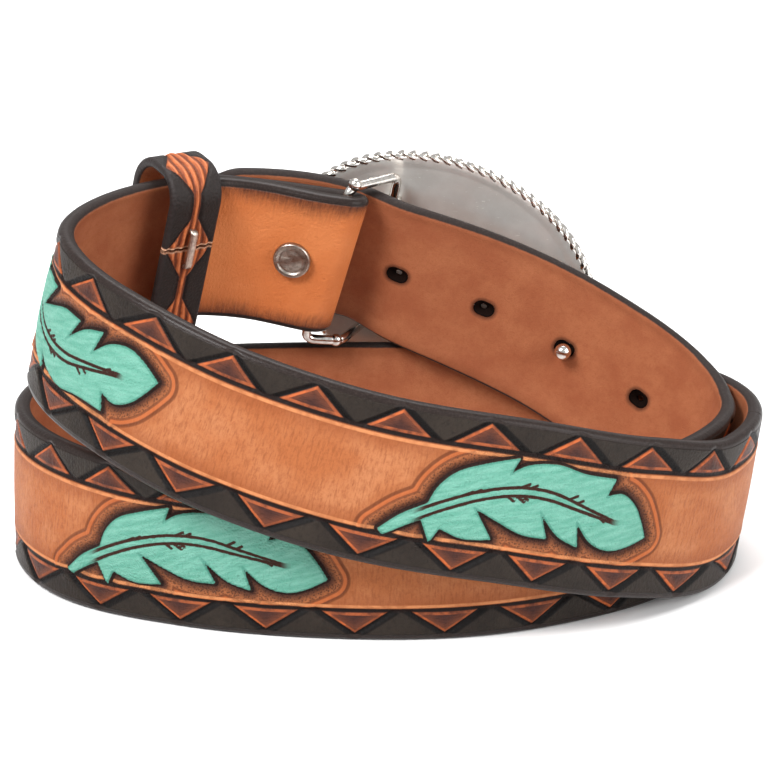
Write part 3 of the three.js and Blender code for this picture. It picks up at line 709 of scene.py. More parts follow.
def quill_distance(x, y):
    """Distance above the middle of the shaft."""
    rise = np.interp(x, shaft_line[:, 0], shaft_line[:, 1])
    slope = np.interp(x, shaft_line[:, 0], shaft_run[:, 1] / shaft_run[:, 0])
    return (y - rise) / np.sqrt(1 + slope * slope)


def feather_fields(s, w):
    """Distance from the nearest feather's outline and its nicks, and place on its quill."""
    outside = np.full(s.shape, 20.0)
    cut = np.full(s.shape, 20.0)
    quill = np.full(s.shape, 20.0)
    quill_at = np.full(s.shape, -20.0)
    for start, way in FEATHERS:
        x, y = s - start, w * way
        near = (x > -8) & (x < 72) & (np.abs(y) < 14)
        if not near.any():
            continue
        outside[near] = np.minimum(outside[near], outline_distance(x[near], y[near], feather_outline))
        cut[near] = np.minimum(cut[near], segment_distance(x[near], y[near], cut_starts, cut_ends))
        quill[near] = quill_distance(x[near], y[near])
        quill_at[near] = x[near]
    return outside, cut, quill, quill_at


def triangle_field(s, w):
    """Distance from the slanting side of the nearest border triangle, negative inside it."""
    half, tall = TRIANGLE_BASE / 2, TRIANGLE_TOP - BORDER
    start = TRIANGLE_START + np.where(w > 0, UPPER_SHIFT, LOWER_SHIFT)
    x = np.abs((s - start + TRIANGLE_PITCH / 2) % TRIANGLE_PITCH - TRIANGLE_PITCH / 2)
    return ((x - half) * tall + (np.abs(w) - BORDER) * half) / math.hypot(half, tall)


def relief(s, w, outside, cut, quill, quill_at, triangle):
    """Height of the grain side above plain leather."""
    patterned = ease(s, PATTERN_START - 1, PATTERN_START + 1)
    away = np.abs(w)
    field = 1 - ease(away, BORDER - 0.5, BORDER)
    border = ease(away, BORDER, BORDER + 0.5)
    height = 0.16 * np.clip(1 - (w / BORDER) ** 2, 0, 1)
    height = height - 0.5 * bell(away, BORDER + 0.1, 0.42) + 0.12 * bell(away, BORDER - 0.9, 0.4)
    past = np.maximum(outside, 0)
    sunk = -0.85 * np.exp(-((past / 1.5) ** 1.7))
    vane = -0.06 + 0.28 * (1 - np.exp(np.minimum(outside, 0) / 1.3))
    step = ease(outside, -0.15, 0.3)
    feather = vane * (1 - step) + sunk * step
    feather = feather + 0.2 * bell(outside, 3.85, 0.5) - 0.12 * bell(outside, 3.2, 0.25)
    feather = feather - 0.18 * bell(outside, 4.6, 0.3)
    half = SHAFT_HALF * (1 - 0.75 * ease(quill_at, 34, 56))
    shaft = bell(np.abs(quill) - half, 0, 0.36) * ease(quill_at, 5, 9) * (1 - ease(quill_at, 53, 56))
    feather = feather - 0.45 * np.maximum(shaft, 0.7 * bell(cut, 0, 0.34)) * (outside < 0)
    reach = 1 - ease(outside, 5.0, 6.0)
    height = height + feather * field * reach
    from_cut = triangle - 0.15
    ramp = np.exp(np.minimum(from_cut, 0) / 1.7 - np.maximum(from_cut, 0) / 0.2)
    cutting = -0.6 * bell(triangle, 0.5, 0.45) - 0.6 * ramp + 0.2 * bell(triangle, -0.5, 0.3)
    height = height + (cutting - 0.02) * border
    return height * patterned


# Strap


def strap_profile(grain_step, flesh_step):
    """Round the strap: position across, through, distance past the flat face, and which face."""
    flat = STRAP_WIDTH / 2 - EDGE_ROUND
    grain = np.linspace(-flat, flat, int(2 * flat / grain_step) + 1)
    flesh = np.linspace(flat, -flat, int(2 * flat / flesh_step) + 1)
    angles = np.radians(np.linspace(0, 90, 5))[1:-1]
    rows = [(w, STRAP_THICK / 2, abs(w) - flat, 1.0) for w in grain]

    def edge(side):
        turn = []
        for a in angles:
            through = STRAP_THICK / 2 - EDGE_ROUND * (1 - math.cos(a))
            turn.append((flat + EDGE_ROUND * math.sin(a), through, EDGE_ROUND * a))
        turn.append((flat + EDGE_ROUND, STRAP_THICK / 2 - EDGE_ROUND, EDGE_ROUND * 1.6))
        first = [(side * w, t, past, 1.0) for w, t, past in turn]
        second = [(side * w, -t, past, 0.0) for w, t, past in turn[::-1]]
        return first + second

    rows += edge(1)
    rows += [(w, -STRAP_THICK / 2, abs(w) - flat, 0.0) for w in flesh]
    rows += edge(-1)[::-1]
    return np.array(rows)


def hole_field(s, w):
    """Distance from the nearest size hole's outline, negative inside, and the way out of it."""
    best = np.full(s.shape, 50.0)
    way = np.zeros(s.shape + (2,))
    for number in range(HOLE_COUNT):
        x = s - (path.total - HOLE_FROM_TIP - HOLE_PITCH * number)
        straight = (HOLE_LONG - HOLE_TALL) / 2
        dx = x - np.clip(x, -straight, straight)
        length = np.hypot(dx, w)
        away = length - HOLE_TALL / 2
        nearer = away < best
        best = np.where(nearer, away, best)
        direction = np.stack([dx, w], -1) / np.maximum(length, 1e-6)[..., None]
        way = np.where(nearer[..., None], direction, way)
    return best, way


def strap_piece(name, distances, grain_step, flesh_step, material, holes=False, end=None):
    profile = strap_profile(grain_step, flesh_step)
    s = np.repeat(distances[:, None], len(profile), 1)
    w = np.repeat(profile[None, :, 0], len(distances), 0)
    through = np.repeat(profile[None, :, 1], len(distances), 0)
    past = np.repeat(profile[None, :, 2], len(distances), 0)
    grain = np.repeat(profile[None, :, 3], len(distances), 0)
    face = past < 0.01
    keep = None
    pressed = np.zeros(s.shape)
    if holes:
        away, way = hole_field(s, w)
        inside = (away < 0) & face
        faces, _ = grid_faces(len(distances), len(profile), False, True)
        gone = inside.ravel()[faces].all(1)
        keep = ~gone
        edge = np.zeros(s.size, bool)
        mixed = faces[keep][inside.ravel()[faces[keep]].any(1)]
        edge[mixed.ravel()] = True
        snapped = edge.reshape(s.shape) & inside
        s = np.where(snapped, s - away * way[..., 0], s)
        w = np.where(snapped, w - away * way[..., 1], w)
        away = np.where(snapped, 0, away)
        pressed = 0.22 * (1 - ease(away, 0, 1.1)) * face
    share = np.clip((s - (path.total - TIP_LENGTH)) / TIP_LENGTH, 0, 1)
    taper = np.sqrt(1 - (share * 0.93) ** 2)
    outside, cut, quill, quill_at = feather_fields(s, w)
    outside = outside - FEATHER_GROWN
    triangle = triangle_field(s, w)
    height = relief(s, w, outside, cut, quill, quill_at, triangle) * grain * (1 - ease(past, 0.0, 1.2))
    if holes:
        point, _, up, out = [v.reshape(*s.shape, 3) for v in strap_frame(s.ravel())]
    else:
        point, _, up, out = [v[:, None] for v in strap_frame(distances)]
    depth = through + height - pressed * np.sign(through)
    points = point + up * (w * taper)[..., None] + out * depth[..., None]
    slanted = w + fold_rise(distances)[:, None]
    points = points + fold_slant(distances)[:, None] * slanted[..., None]
    core = point + 0 * points
    values = {
        "s": s, "w": w, "past": past, "grain": grain,
        "outside": outside, "cut": cut, "quill": quill, "quill_at": quill_at,
        "hole": hole_field(s, w)[0] if holes else np.full(s.shape, 50.0),
    }
    return surface(
        name, points, material, "tooled_leather", "belt_strap", core,
        keep=keep, values=values, ends=end,
    )


def triangle_shade(m, s, w, away):
    """The same distance as triangle_field for each point of the surface, and which slant is near; the slant
    further along the strap carries painted shade and a weaker painted highlight.
    """
    half, tall = TRIANGLE_BASE / 2, TRIANGLE_TOP - BORDER
    long = math.hypot(half, tall)
    shift = m.add(m.times(m.ease(w, -0.5, 0.5), UPPER_SHIFT - LOWER_SHIFT), LOWER_SHIFT)
    place = m.math("SUBTRACT", m.add(s, 50 * TRIANGLE_PITCH - TRIANGLE_START + TRIANGLE_PITCH / 2), shift)
    place = m.math("MODULO", place, TRIANGLE_PITCH)
    x = m.math("ABSOLUTE", m.math("SUBTRACT", place, TRIANGLE_PITCH / 2))
    level = m.times(m.math("SUBTRACT", away, BORDER), half / long)
    side = m.ease(place, TRIANGLE_PITCH / 2 - 0.4, TRIANGLE_PITCH / 2 + 0.4)
    return m.add(m.times(m.math("SUBTRACT", x, half), tall / long), level), side


def strap_material():
    m = Shade("painted tooled leather")
    s, w, past, grain = m.value("s"), m.value("w"), m.value("past"), m.value("grain")
    outside, cut, hole = m.value("outside"), m.value("cut"), m.value("hole")
    quill, quill_at = m.value("quill"), m.value("quill_at")
    spot = m.join(s, w, grain)
    away = m.math("ABSOLUTE", w)
    triangle, shaded_slant = triangle_shade(m, s, w, away)
    broad = m.noise(spot, 0.06, 3)
    streak = m.noise(m.stretched(spot, 1.0, 0.16, 1), 1.9, 4, 0.65)
    fine = m.noise(spot, 2.2, 4, 0.7)
    wobble = m.times(m.math("SUBTRACT", m.noise(spot, 0.8, 2), 0.5), 0.5)

    # Plain tan field, darker towards its border lines
    tan = m.blend(m.ease(broad, 0.35, 0.68), dye("BE6F40"), dye("D0875A"))
    tan = m.blend(m.times(m.ease(streak, 0.44, 0.72), 0.6), tan, dye("93502B"))
    pebble = m.noise(m.stretched(spot, 1.0, 0.6, 1), 1.1, 5, 0.75)
    tan = m.blend(m.times(m.ease(pebble, 0.46, 0.66), 0.45), tan, dye("9C552E"))
    tan = m.blend(m.times(m.ease(fine, 0.5, 0.85), 0.35), tan, dye("8A4826"))
    tan = m.blend(m.times(m.ease(away, BORDER - 5.5, BORDER - 0.9), 0.6), tan, dye("9A5029"))

    # Matted ground round a feather, then a raised contour between two cut lines
    dots = m.cells(spot, 2.1)
    ground = m.blend(m.ease(m.add(outside, wobble), 0.5, 2.9), dye("4E2C20"), dye("B0683F"))
    ground = m.blend(m.times(m.flip(m.ease(dots, 0.2, 0.55)), 0.7), ground, dye("38201A"))
    near = m.flip(m.ease(m.add(outside, wobble), HALO - 0.5, HALO + 0.2))
    color = m.blend(near, tan, ground)
    color = m.blend(m.times(m.band(outside, 3.75, 0.8), 0.75), color, dye("C86A38"))
    color = m.blend(m.times(m.band(outside, 3.1, 0.4), 0.6), color, dye("5A2E1E"))
    color = m.blend(m.times(m.band(outside, 4.6, 0.55), 0.8), color, dye("6A341C"))
    color = m.blend(m.times(m.band(outside, 5.6, 1.2), 0.3), color, dye("A85C30"))

    # Border of triangles
    lines_in = m.noise(m.stretched(spot, 0.5, 2.2, 1), 1.2, 4, 0.7)
    inner = m.blend(m.ease(triangle, -3.4, -0.8), dye("4A2A24"), dye("643829"))
    inner = m.blend(m.times(m.ease(lines_in, 0.45, 0.68), 0.6), inner, dye("2E1815"))
    worn = m.ease(m.noise(spot, 0.35, 3, 0.6), 0.36, 0.6)
    inner = m.blend(m.times(m.ease(triangle, -2.2, -0.4), 0.25), inner, dye("9A5234"))
    # Orange line along each triangle's crest: dye rubbed off the ridge, plus a painted highlight that is
    # full on the slant nearer the fold and weaker on the slant further along.
    crest_wear_and_highlight = m.band(m.add(triangle, m.times(wobble, 0.3)), -0.42, 0.42)
    crest_wear_and_highlight = m.times(crest_wear_and_highlight, m.add(0.4, m.times(worn, 0.6)))
    inner = m.blend(m.times(crest_wear_and_highlight, m.flip(m.times(shaded_slant, 0.55))), inner, dye("D86F3C"))
    ledge = m.times(m.band(away, BORDER + 0.95, 0.5), m.add(0.2, m.times(worn, 0.6)))
    inner = m.blend(ledge, inner, dye("C4683C"))
    black = m.blend(m.ease(broad, 0.3, 0.7), dye("2A221D"), dye("382F28"))
    black = m.blend(m.times(m.ease(pebble, 0.48, 0.66), 0.5), black, dye("1A1512"))
    border = m.blend(m.ease(triangle, -0.12, 0.06), inner, black)
    border = m.blend(m.band(triangle, 0.5, 0.85), border, dye("0D0807"))
    # Painted shadow: the groove is drawn wider and black on the slant further along the strap.
    border = m.blend(m.times(m.band(triangle, 0.85, 0.9), shaded_slant), border, dye("0D0807"))
    color = m.blend(m.ease(away, BORDER - 0.05, BORDER + 0.15), color, border)
    shine = m.add(0.4, m.times(worn, 0.45))
    color = m.blend(m.times(m.band(away, BORDER - 0.95, 0.5), shine), color, dye("EB9A64"))
    color = m.blend(m.band(away, BORDER + 0.1, 0.7), color, dye("1E0F0B"))

    # Painted feather and the lines cut in it
    along_vane = m.join(m.add(s, m.times(w, 0.7)), m.math("SUBTRACT", w, m.times(s, 0.35)))
    stroke = m.noise(m.stretched(along_vane, 0.16, 0.9, 1), 1.0, 3, 0.5)
    feather = m.blend(m.ease(stroke, 0.3, 0.72), dye("6AB29C"), dye("84C5B1"))
    feather = m.blend(m.times(m.ease(fine, 0.55, 0.8), 0.2), feather, dye("4C9D88"))
    feather = m.blend(m.times(m.band(outside, -0.1, 0.6), 0.5), feather, dye("3C8C78"))
    painted = m.flip(m.ease(outside, -0.16, -0.02))
    color = m.blend(painted, color, feather)
    half = m.times(m.flip(m.times(m.ease(quill_at, 34.0, 56.0), 0.75)), SHAFT_HALF)
    from_line = m.math("ABSOLUTE", m.math("SUBTRACT", m.math("ABSOLUTE", quill), half))
    shaft = m.flip(m.ease(m.add(from_line, m.times(wobble, 0.5)), 0.3, 0.48))
    shaft = m.times(m.times(shaft, m.ease(quill_at, 5.5, 9.0)), m.flip(m.ease(quill_at, 53.0, 56.0)))
    nicks = m.flip(m.ease(m.add(cut, m.times(wobble, 0.12)), 0.26, 0.46))
    lines = m.times(m.math("MAXIMUM", shaft, nicks), m.flip(m.ease(outside, -0.1, 0.1)))
    color = m.blend(lines, color, dye("3E2016"))
    rim = m.times(m.band(outside, 0.2, 0.45), m.flip(m.ease(away, BORDER - 0.4, BORDER)))
    color = m.blend(rim, color, dye("2A1610"))

    # Folded end: no pattern, burnished dark towards its edges
    short, long = m.math("SUBTRACT", streak, 0.5), m.math("SUBTRACT", broad, 0.5)
    ragged = m.add(m.times(short, 4.5), m.times(long, 6.0))
    burnt = m.ease(m.add(away, ragged), 12.2, 19.2)
    smooth = m.blend(m.ease(broad, 0.35, 0.68), paint("C67240"), paint("D07E4B"))
    smooth = m.blend(m.times(m.ease(fine, 0.5, 0.8), 0.2), smooth, paint("A4582C"))
    smooth = m.blend(m.times(m.ease(away, 8.0, 17.0), 0.3), smooth, paint("A85A30"))
    smooth = m.blend(burnt, smooth, paint("3E2420"))
    patterned = m.ease(s, PATTERN_START - 0.3, PATTERN_START + 0.3)
    color = m.blend(patterned, smooth, color)

    # Flesh side
    patch = m.noise(spot, 0.09, 4, 0.6)
    fibre = m.noise(m.stretched(spot, 0.7, 1.0, 1), 3.0, 5, 0.75)
    flesh = m.blend(m.ease(patch, 0.3, 0.7), paint("995739"), paint("AA6846"))
    flesh = m.blend(m.times(m.ease(m.noise(spot, 0.7, 4, 0.7), 0.45, 0.7), 0.35), flesh, paint("8E5033"))
    flesh = m.blend(m.times(m.ease(fibre, 0.45, 0.72), 0.45), flesh, paint("82482D"))
    flesh = m.blend(m.times(m.ease(past, -2.5, 0.0), 0.35), flesh, paint("7A4228"))
    flesh = m.blend(m.times(m.flip(m.ease(hole, 0.1, 1.2)), 0.7), flesh, paint("4A2A1D"))
    color = m.blend(grain, flesh, color)

    # Painted edge
    edge = m.blend(m.ease(fine, 0.4, 0.75), paint("241D1B"), paint("342B28"))
    reach = m.add(past, m.times(wobble, 0.5))
    on_edge = m.blend(grain, m.ease(reach, 0.6, 1.1), m.ease(reach, -0.2, 0.25))
    color = m.blend(on_edge, color, edge)

    skin = m.noise(spot, 1.6, 5, 0.7)
    pores = m.cells(spot, 1.3)
    matting = m.times(m.times(dots, near), patterned)
    height = m.add(m.add(m.times(skin, 0.8), m.times(pores, 0.4)), m.times(pebble, 1.4))
    height = m.add(height, m.times(matting, 1.6))
    height = m.add(height, m.times(m.times(stroke, painted), 0.8))
    height = m.add(height, m.times(streak, 0.8))
    nap = m.times(m.add(fibre, m.noise(spot, 6.0, 3)), 1.4)
    height = m.add(m.times(height, grain), m.times(nap, m.flip(grain)))
    normal = m.bump(m.times(height, m.flip(m.times(on_edge, 0.75))), 0.17)
    on_border = m.ease(away, BORDER - 0.2, BORDER + 0.2)
    rough_grain = m.add(m.times(on_border, -0.1), m.add(0.46, m.times(fine, 0.12)))
    rough = m.math("MULTIPLY_ADD", m.flip(grain), 0.34, rough_grain)
    rough = m.add(rough, m.times(on_edge, -0.12))
    m.skin.inputs["Specular IOR Level"].default_value = 0.14
    return m.finish(color, rough, 0.0, normal)


leather = strap_material()


def run(*parts):
    """Distances along the strap, each part as (start, end, step)."""
    rows = [np.linspace(a, b, max(int(round((b - a) / step)), 1) + 1) for a, b, step in parts]
    return np.unique(np.round(np.concatenate(rows), 4))


fine_step = 0.45
strap_piece(
    "strap_upper_turn",
    run((START, 0, 0.8), (0, 55, 1.0), (55, 305, fine_step)),
    fine_step, 1.2, leather, end=True,
)
strap_piece(
    "strap_lower_turn",
    run((305, 535, 1.0), (535, 710, fine_step)),
    fine_step, 1.2, leather,
)
strap_piece(
    "strap_holed_end",
    run((710, path.total, 0.55)),
    0.8, 0.55, leather, holes=True, end=True,
)


def hole_shade_material():
    m = Shade("hole wall painted shade")
    spot = m.place()
    # Near-black painted shade standing in for the shadow inside the holes, not the leather's own colour.
    color = m.blend(m.noise(spot, 2.0, 3), paint("0C0706"), paint("1C110D"))
    m.skin.inputs["Specular IOR Level"].default_value = 0.03
    return m.finish(color, 0.8, 0.0, m.bump(m.noise(spot, 3.0, 3), 0.1))


def hole_walls():
    material = hole_shade_material()
    for number in range(HOLE_COUNT):
        middle = path.total - HOLE_FROM_TIP - HOLE_PITCH * number
        straight = (HOLE_LONG - HOLE_TALL) / 2
        outline = []
        for side in (1, -1):
            angle = np.linspace(-math.pi / 2, math.pi / 2, 15) + (0 if side > 0 else math.pi)
            x, y = np.cos(angle), np.sin(angle)
            outline.append(np.stack([side * straight + HOLE_TALL / 2 * x, HOLE_TALL / 2 * y], -1))
        outline = np.concatenate(outline)
        rows = []
        for depth in np.linspace(-1.8, 1.8, 9):
            swell = 1 - 0.72 * bell(depth, 0, 1.1)
            inner = outline * swell
            point, _, up, out = strap_frame(middle + inner[:, 0])
            rows.append(point + up * inner[:, 1:] + out * depth)
        points = np.array(rows)
        core = points + (points - points.mean((0, 1)))
        surface(f"hole_wall_{number + 1}", points, material, "tooled_leather", "belt_strap", core)


hole_walls()

# Keeper

keeper_point, keeper_along, keeper_up, keeper_out = [v[0] for v in path.frame(np.array([KEEPER_FROM_FOLD]))]


def keeper_reach():
    distance = np.arange(0, 2 * KEEPER_FROM_FOLD, 1.0)
    back = distance[distance < RETURN_LENGTH]
    rows = [path.frame(distance), path.frame(path.total - distance), return_frame(back)]
    ups, outs = [], []
    for point, _, up, out in rows:
        offset = point - keeper_point
        half = KEEPER_WIDTH / 2 + KEEPER_SLANT * STRAP_WIDTH / 2 + KEEPER_SLACK
        near = np.abs(dot(offset, keeper_along)) <= half
        for side in (-1, 1):
            for face in (-1, 1):
                corner = offset + up * side * (STRAP_WIDTH / 2 - EDGE_ROUND) + out * face * STRAP_THICK / 2
                outs.append(dot(corner, keeper_out)[near])
                ups.append(dot(corner, keeper_up)[near] + side * EDGE_ROUND)
    outs, ups = np.concatenate(outs), np.concatenate(ups)
    return -outs.min(), outs.max(), -ups.min(), ups.max()


inside_reach, outside_reach, below_reach, above_reach = keeper_reach()
KEEPER_INSIDE = inside_reach + KEEPER_SLACK + KEEPER_THICK / 2
KEEPER_OUTSIDE = outside_reach + KEEPER_SLACK + KEEPER_THICK / 2
KEEPER_BELOW = below_reach + CLEARANCE + KEEPER_THICK / 2
KEEPER_ABOVE = above_reach + KEEPER_ARCH + KEEPER_THICK / 2


def keeper_place(up, out, along=0.0):
    way = keeper_up - keeper_along * KEEPER_SLANT
    return keeper_point + way * up + keeper_out * out + keeper_along * along


def keeper_line(step=0.5):
    """Loop as (up, out) points from one side of the joint round to the other."""
    corner_rows = [
        (-KEEPER_BELOW, -KEEPER_INSIDE, -math.pi / 2, 4.5),
        (-KEEPER_BELOW, KEEPER_OUTSIDE, math.pi, 4.5),
        (KEEPER_ABOVE, KEEPER_OUTSIDE, math.pi / 2, 7.0),
        (KEEPER_ABOVE, -KEEPER_INSIDE, 0.0, 7.0),
    ]
    line = [(STAPLE_ABOVE - KEEPER_JOINT / 2, -KEEPER_INSIDE)]
    for up, out, start, radius in corner_rows:
        for angle in start - np.linspace(0, math.pi / 2, 13):
            line.append((
                up - math.copysign(radius, up) + radius * math.cos(angle),
                out - math.copysign(radius, out) + radius * math.sin(angle),
            ))
    line.append((STAPLE_ABOVE + KEEPER_JOINT / 2, -KEEPER_INSIDE))
    line = np.array(line)
    length = np.concatenate([[0], np.cumsum(np.linalg.norm(np.diff(line, axis=0), axis=1))])
    even = np.linspace(0, length[-1], int(length[-1] / step) + 1)
    return np.stack([np.interp(even, length, line[:, k]) for k in (0, 1)], -1), even


KEEPER_PITCH = 21.0
RIB_HEIGHT = 0.24


def keeper_fields(along, across):
    """Distance from the black side pieces, negative inside them. along is from the joint."""
    x = np.abs((along + KEEPER_PITCH / 2) % KEEPER_PITCH - KEEPER_PITCH / 2)
    inner = 1.4 + 5.0 * np.clip(1 - x / 7.5, 0, 1)
    return (inner - np.abs(across)) * 0.85


def keeper_piece():
    line, length = keeper_line()
    total = length[-1]
    run_up = unit(np.gradient(line, axis=0))
    run3 = run_up[:, :1] * keeper_up + run_up[:, 1:] * keeper_out
    outward = np.cross(keeper_along, run3)
    middle = keeper_place(line[:, :1], line[:, 1:])
    centre = keeper_point + keeper_up * 1.5 + keeper_out * (KEEPER_OUTSIDE - KEEPER_INSIDE) / 2
    if np.mean(dot(outward, middle - centre)) < 0:
        outward = -outward
    half, thick, turn = KEEPER_WIDTH / 2, KEEPER_THICK / 2, KEEPER_THICK * 0.42
    flat = half - turn
    rows = [(v, thick, 1.0, abs(v) - flat) for v in np.linspace(-flat, flat, 49)]
    for side, faces in ((1, (1, -1)), (-1, (-1, 1))):
        for face in faces:
            angles = np.radians([22, 45, 68, 90] if face == faces[0] else [90, 68, 45, 22])
            for a in angles:
                v = side * (flat + turn * math.sin(a))
                through = face * (thick - turn * (1 - math.cos(a)))
                rows.append((v, through, 1.0 if face > 0 else 0.0, turn * a))
        if side == 1:
            rows += [(v, -thick, 0.0, abs(v) - flat) for v in np.linspace(flat, -flat, 15)]
    profile = np.array(rows)
    across = np.repeat(profile[None, :, 0], len(line), 0)
    through = np.repeat(profile[None, :, 1], len(line), 0)
    grain = np.repeat(profile[None, :, 2], len(line), 0)
    past = np.repeat(profile[None, :, 3], len(line), 0)
    from_joint = np.minimum(length, total - length)
    along = np.repeat(from_joint[:, None], len(profile), 1)
    dark = keeper_fields(along, across)
    pinch = 0.55 + 0.45 * np.cos(along * 2 * math.pi / KEEPER_PITCH)
    rib_width = 0.62 + 0.5 * np.clip(pinch, 0, 1)
    ribs = RIB_HEIGHT * np.cos(across / rib_width * math.pi) * ease(dark, 0.1, 0.7)
    height = -0.4 * bell(dark, 0.15, 0.35) + ribs - 0.25 * (1 - ease(along, 0, 0.9))
    height = height * grain * (1 - ease(past, -0.2, 0.6))
    depth = (through + height)[..., None]
    points = middle[:, None] + across[..., None] * keeper_along + depth * outward[:, None]
    values = {
        "s": np.repeat(length[:, None], len(profile), 1), "w": across, "past": past, "grain": grain,
        "dark": dark, "joint": along, "rib": ribs / RIB_HEIGHT,
    }
    return surface(
        "keeper_loop", points, keeper_material(), "dark_leather", "strap_keeper", middle[:, None],
        values=values, ends=True,
    )


def keeper_material():
    m = Shade("ribbed keeper leather")
    s, w, past, grain, dark = m.value("s"), m.value("w"), m.value("past"), m.value("grain"), m.value("dark")
    joint, rib = m.value("joint"), m.value("rib")
    spot = m.join(s, w, grain)
    fine = m.noise(spot, 2.0, 4, 0.7)
    long = m.noise(m.stretched(spot, 0.25, 1.6, 1), 1.0, 4, 0.6)
    orange = m.blend(m.ease(long, 0.3, 0.7), paint("7A3A22"), paint("C06A3C"))
    orange = m.blend(m.times(m.ease(fine, 0.5, 0.8), 0.3), orange, paint("4E2418"))
    orange = m.blend(m.times(m.flip(m.ease(rib, -0.9, 0.3)), 0.8), orange, paint("4A2015"))
    orange = m.blend(m.times(m.ease(rib, 0.5, 1.0), 0.4), orange, paint("D8885A"))
    black = m.blend(m.ease(fine, 0.5, 0.8), paint("221C1A"), paint("362D2A"))
    color = m.blend(m.ease(dark, -0.05, 0.1), black, orange)
    color = m.blend(m.band(dark, 0.12, 0.4), color, paint("1E1412"))
    color = m.blend(grain, paint("A2623F"), color)
    color = m.blend(m.ease(past, -0.1, 0.35), color, paint("2A2423"))
    color = m.blend(m.flip(m.ease(joint, 0.15, 0.6)), color, paint("C79A7C"))
    normal = m.bump(m.add(fine, m.cells(spot, 1.6)), 0.12)
    m.skin.inputs["Specular IOR Level"].default_value = 0.2
    return m.finish(color, m.add(0.4, m.times(fine, 0.18)), 0.0, normal)


keeper_piece()


def metal(name, low, high, rough_low, rough_high, depth, scale=0.5, tarnish=None):
    m = Shade(name)
    spot = m.place()
    cloud = m.noise(spot, scale, 4, 0.6)
    scratch = m.noise(m.stretched(spot, 0.25, 0.25, 3.0), 1.5, 4, 0.7)
    color = m.blend(m.ease(cloud, 0.3, 0.7), paint(low), paint(high))
    if tarnish:
        pits = m.ease(m.noise(spot, scale * 4, 4, 0.7), 0.55, 0.8)
        color = m.blend(m.times(pits, 0.7), color, paint(tarnish))
    roughness = m.add(rough_low, m.times(m.ease(scratch, 0.3, 0.8), rough_high - rough_low))
    return m.finish(color, roughness, 1.0, m.bump(m.add(scratch, m.times(cloud, 0.4)), depth))


silver = metal("bright silver", "CCC6BF", "EAE6E1", 0.13, 0.24, 0.006, 0.8, "8A8178")
nickel = metal("antiqued nickel", "968D84", "B9B0A6", 0.26, 0.4, 0.02, 1.2, "6E645C")
steel = metal("worn staple wire", "B0A498", "D8CCC0", 0.3, 0.45, 0.03, 0.9, "86786C")


STAPLE_OUT = -(KEEPER_INSIDE + KEEPER_THICK / 2 + CLEARANCE + STAPLE_WIRE / 2)


def staple_piece():
    half = STAPLE_LONG / 2 - STAPLE_WIRE / 2
    deep = 1.7
    line = [
        (-half, STAPLE_OUT + deep), (-half, STAPLE_OUT + 0.9), (-half + 0.25, STAPLE_OUT + 0.15),
        (-half + 0.9, STAPLE_OUT - 0.05), (0, STAPLE_OUT - 0.1), (half - 0.9, STAPLE_OUT - 0.05),
        (half - 0.25, STAPLE_OUT + 0.15), (half, STAPLE_OUT + 0.9), (half, STAPLE_OUT + deep),
    ]
    line = spline([keeper_place(STAPLE_ABOVE + up, out) for up, out in line], 6)
    tube(
        "staple_wire", line, STAPLE_WIRE / 2, steel, "staple_steel", "keeper_staple", 24,
        start=keeper_along, wide=STAPLE_WIDE / STAPLE_WIRE,
    )


staple_piece()

# Snap


def snap_piece():
    point, _, up, out = [v[0] for v in return_frame(np.array([SNAP_FROM_FOLD]))]
    axis = -out
    base = point + up * SNAP_ABOVE + axis * (STRAP_THICK / 2 + CLEARANCE - 0.15)
    rim = SNAP_RADIUS
    profile = [
        (0, -0.2), (rim * 0.88, -0.2), (rim * 0.97, 0.15), (rim, 0.55), (rim * 0.99, 0.95),
        (rim * 0.95, 1.28), (rim * 0.88, 1.42), (rim * 0.8, 1.36), (rim * 0.74, 1.15),
        (rim * 0.68, 0.98), (rim * 0.6, 0.96), (rim * 0.5, 1.1), (rim * 0.38, 1.3),
        (rim * 0.24, 1.46), (rim * 0.1, 1.54), (0, 1.55),
    ]
    curve = spline(profile, 4)
    lathe("snap_cap", curve, base, axis, nickel, "aged_nickel", "fold_snap", 72)


snap_piece()

# Buckle

PLATE_TURN = math.radians(-28)
PLATE_LEAN = math.radians(-11)
PLATE_YAW = math.radians(-8)
PLATE_CENTRE = np.array([0.174 * COIL_LONG / 2, 1.105 * COIL_DEEP / 2, 1.42 * STRAP_WIDTH])
plate_face = np.array([
    -math.sin(PLATE_YAW) * math.cos(PLATE_LEAN),
    math.cos(PLATE_YAW) * math.cos(PLATE_LEAN),
    -math.sin(PLATE_LEAN),
])
plate_level = np.array([math.cos(PLATE_YAW), math.sin(PLATE_YAW), 0])
plate_rise = np.cross(plate_level, plate_face)
plate_axis = plate_level * math.cos(PLATE_TURN) + plate_rise * math.sin(PLATE_TURN)
plate_cross = plate_rise * math.cos(PLATE_TURN) - plate_level * math.sin(PLATE_TURN)
HALF_LONG = PLATE_LONG / 2 - ROPE_RADIUS
HALF_TALL = PLATE_TALL / 2 - ROPE_RADIUS


def plate_sag(x, y):
    """How far the domed plate lies behind its middle, for shares of its half sizes."""
    return PLATE_DOME * x**2 + PLATE_DOME * 0.5 * y**2


def plate_point(share, angle, lift):
    x, y = share * np.cos(angle), share * np.sin(angle)
    return (
        PLATE_CENTRE
        + (HALF_LONG * x)[..., None] * plate_axis
        + (HALF_TALL * y)[..., None] * plate_cross
        + (lift - plate_sag(x, y))[..., None] * plate_face
    )


def held_under_plate(points):
    """Points past the middle of the plate's thickness are brought back to it."""
    offset = points - PLATE_CENTRE
    x, y = dot(offset, plate_axis) / HALF_LONG, dot(offset, plate_cross) / HALF_TALL
    lift = dot(offset, plate_face) + plate_sag(x, y)
    return points - np.maximum(lift, 0)[..., None] * plate_face


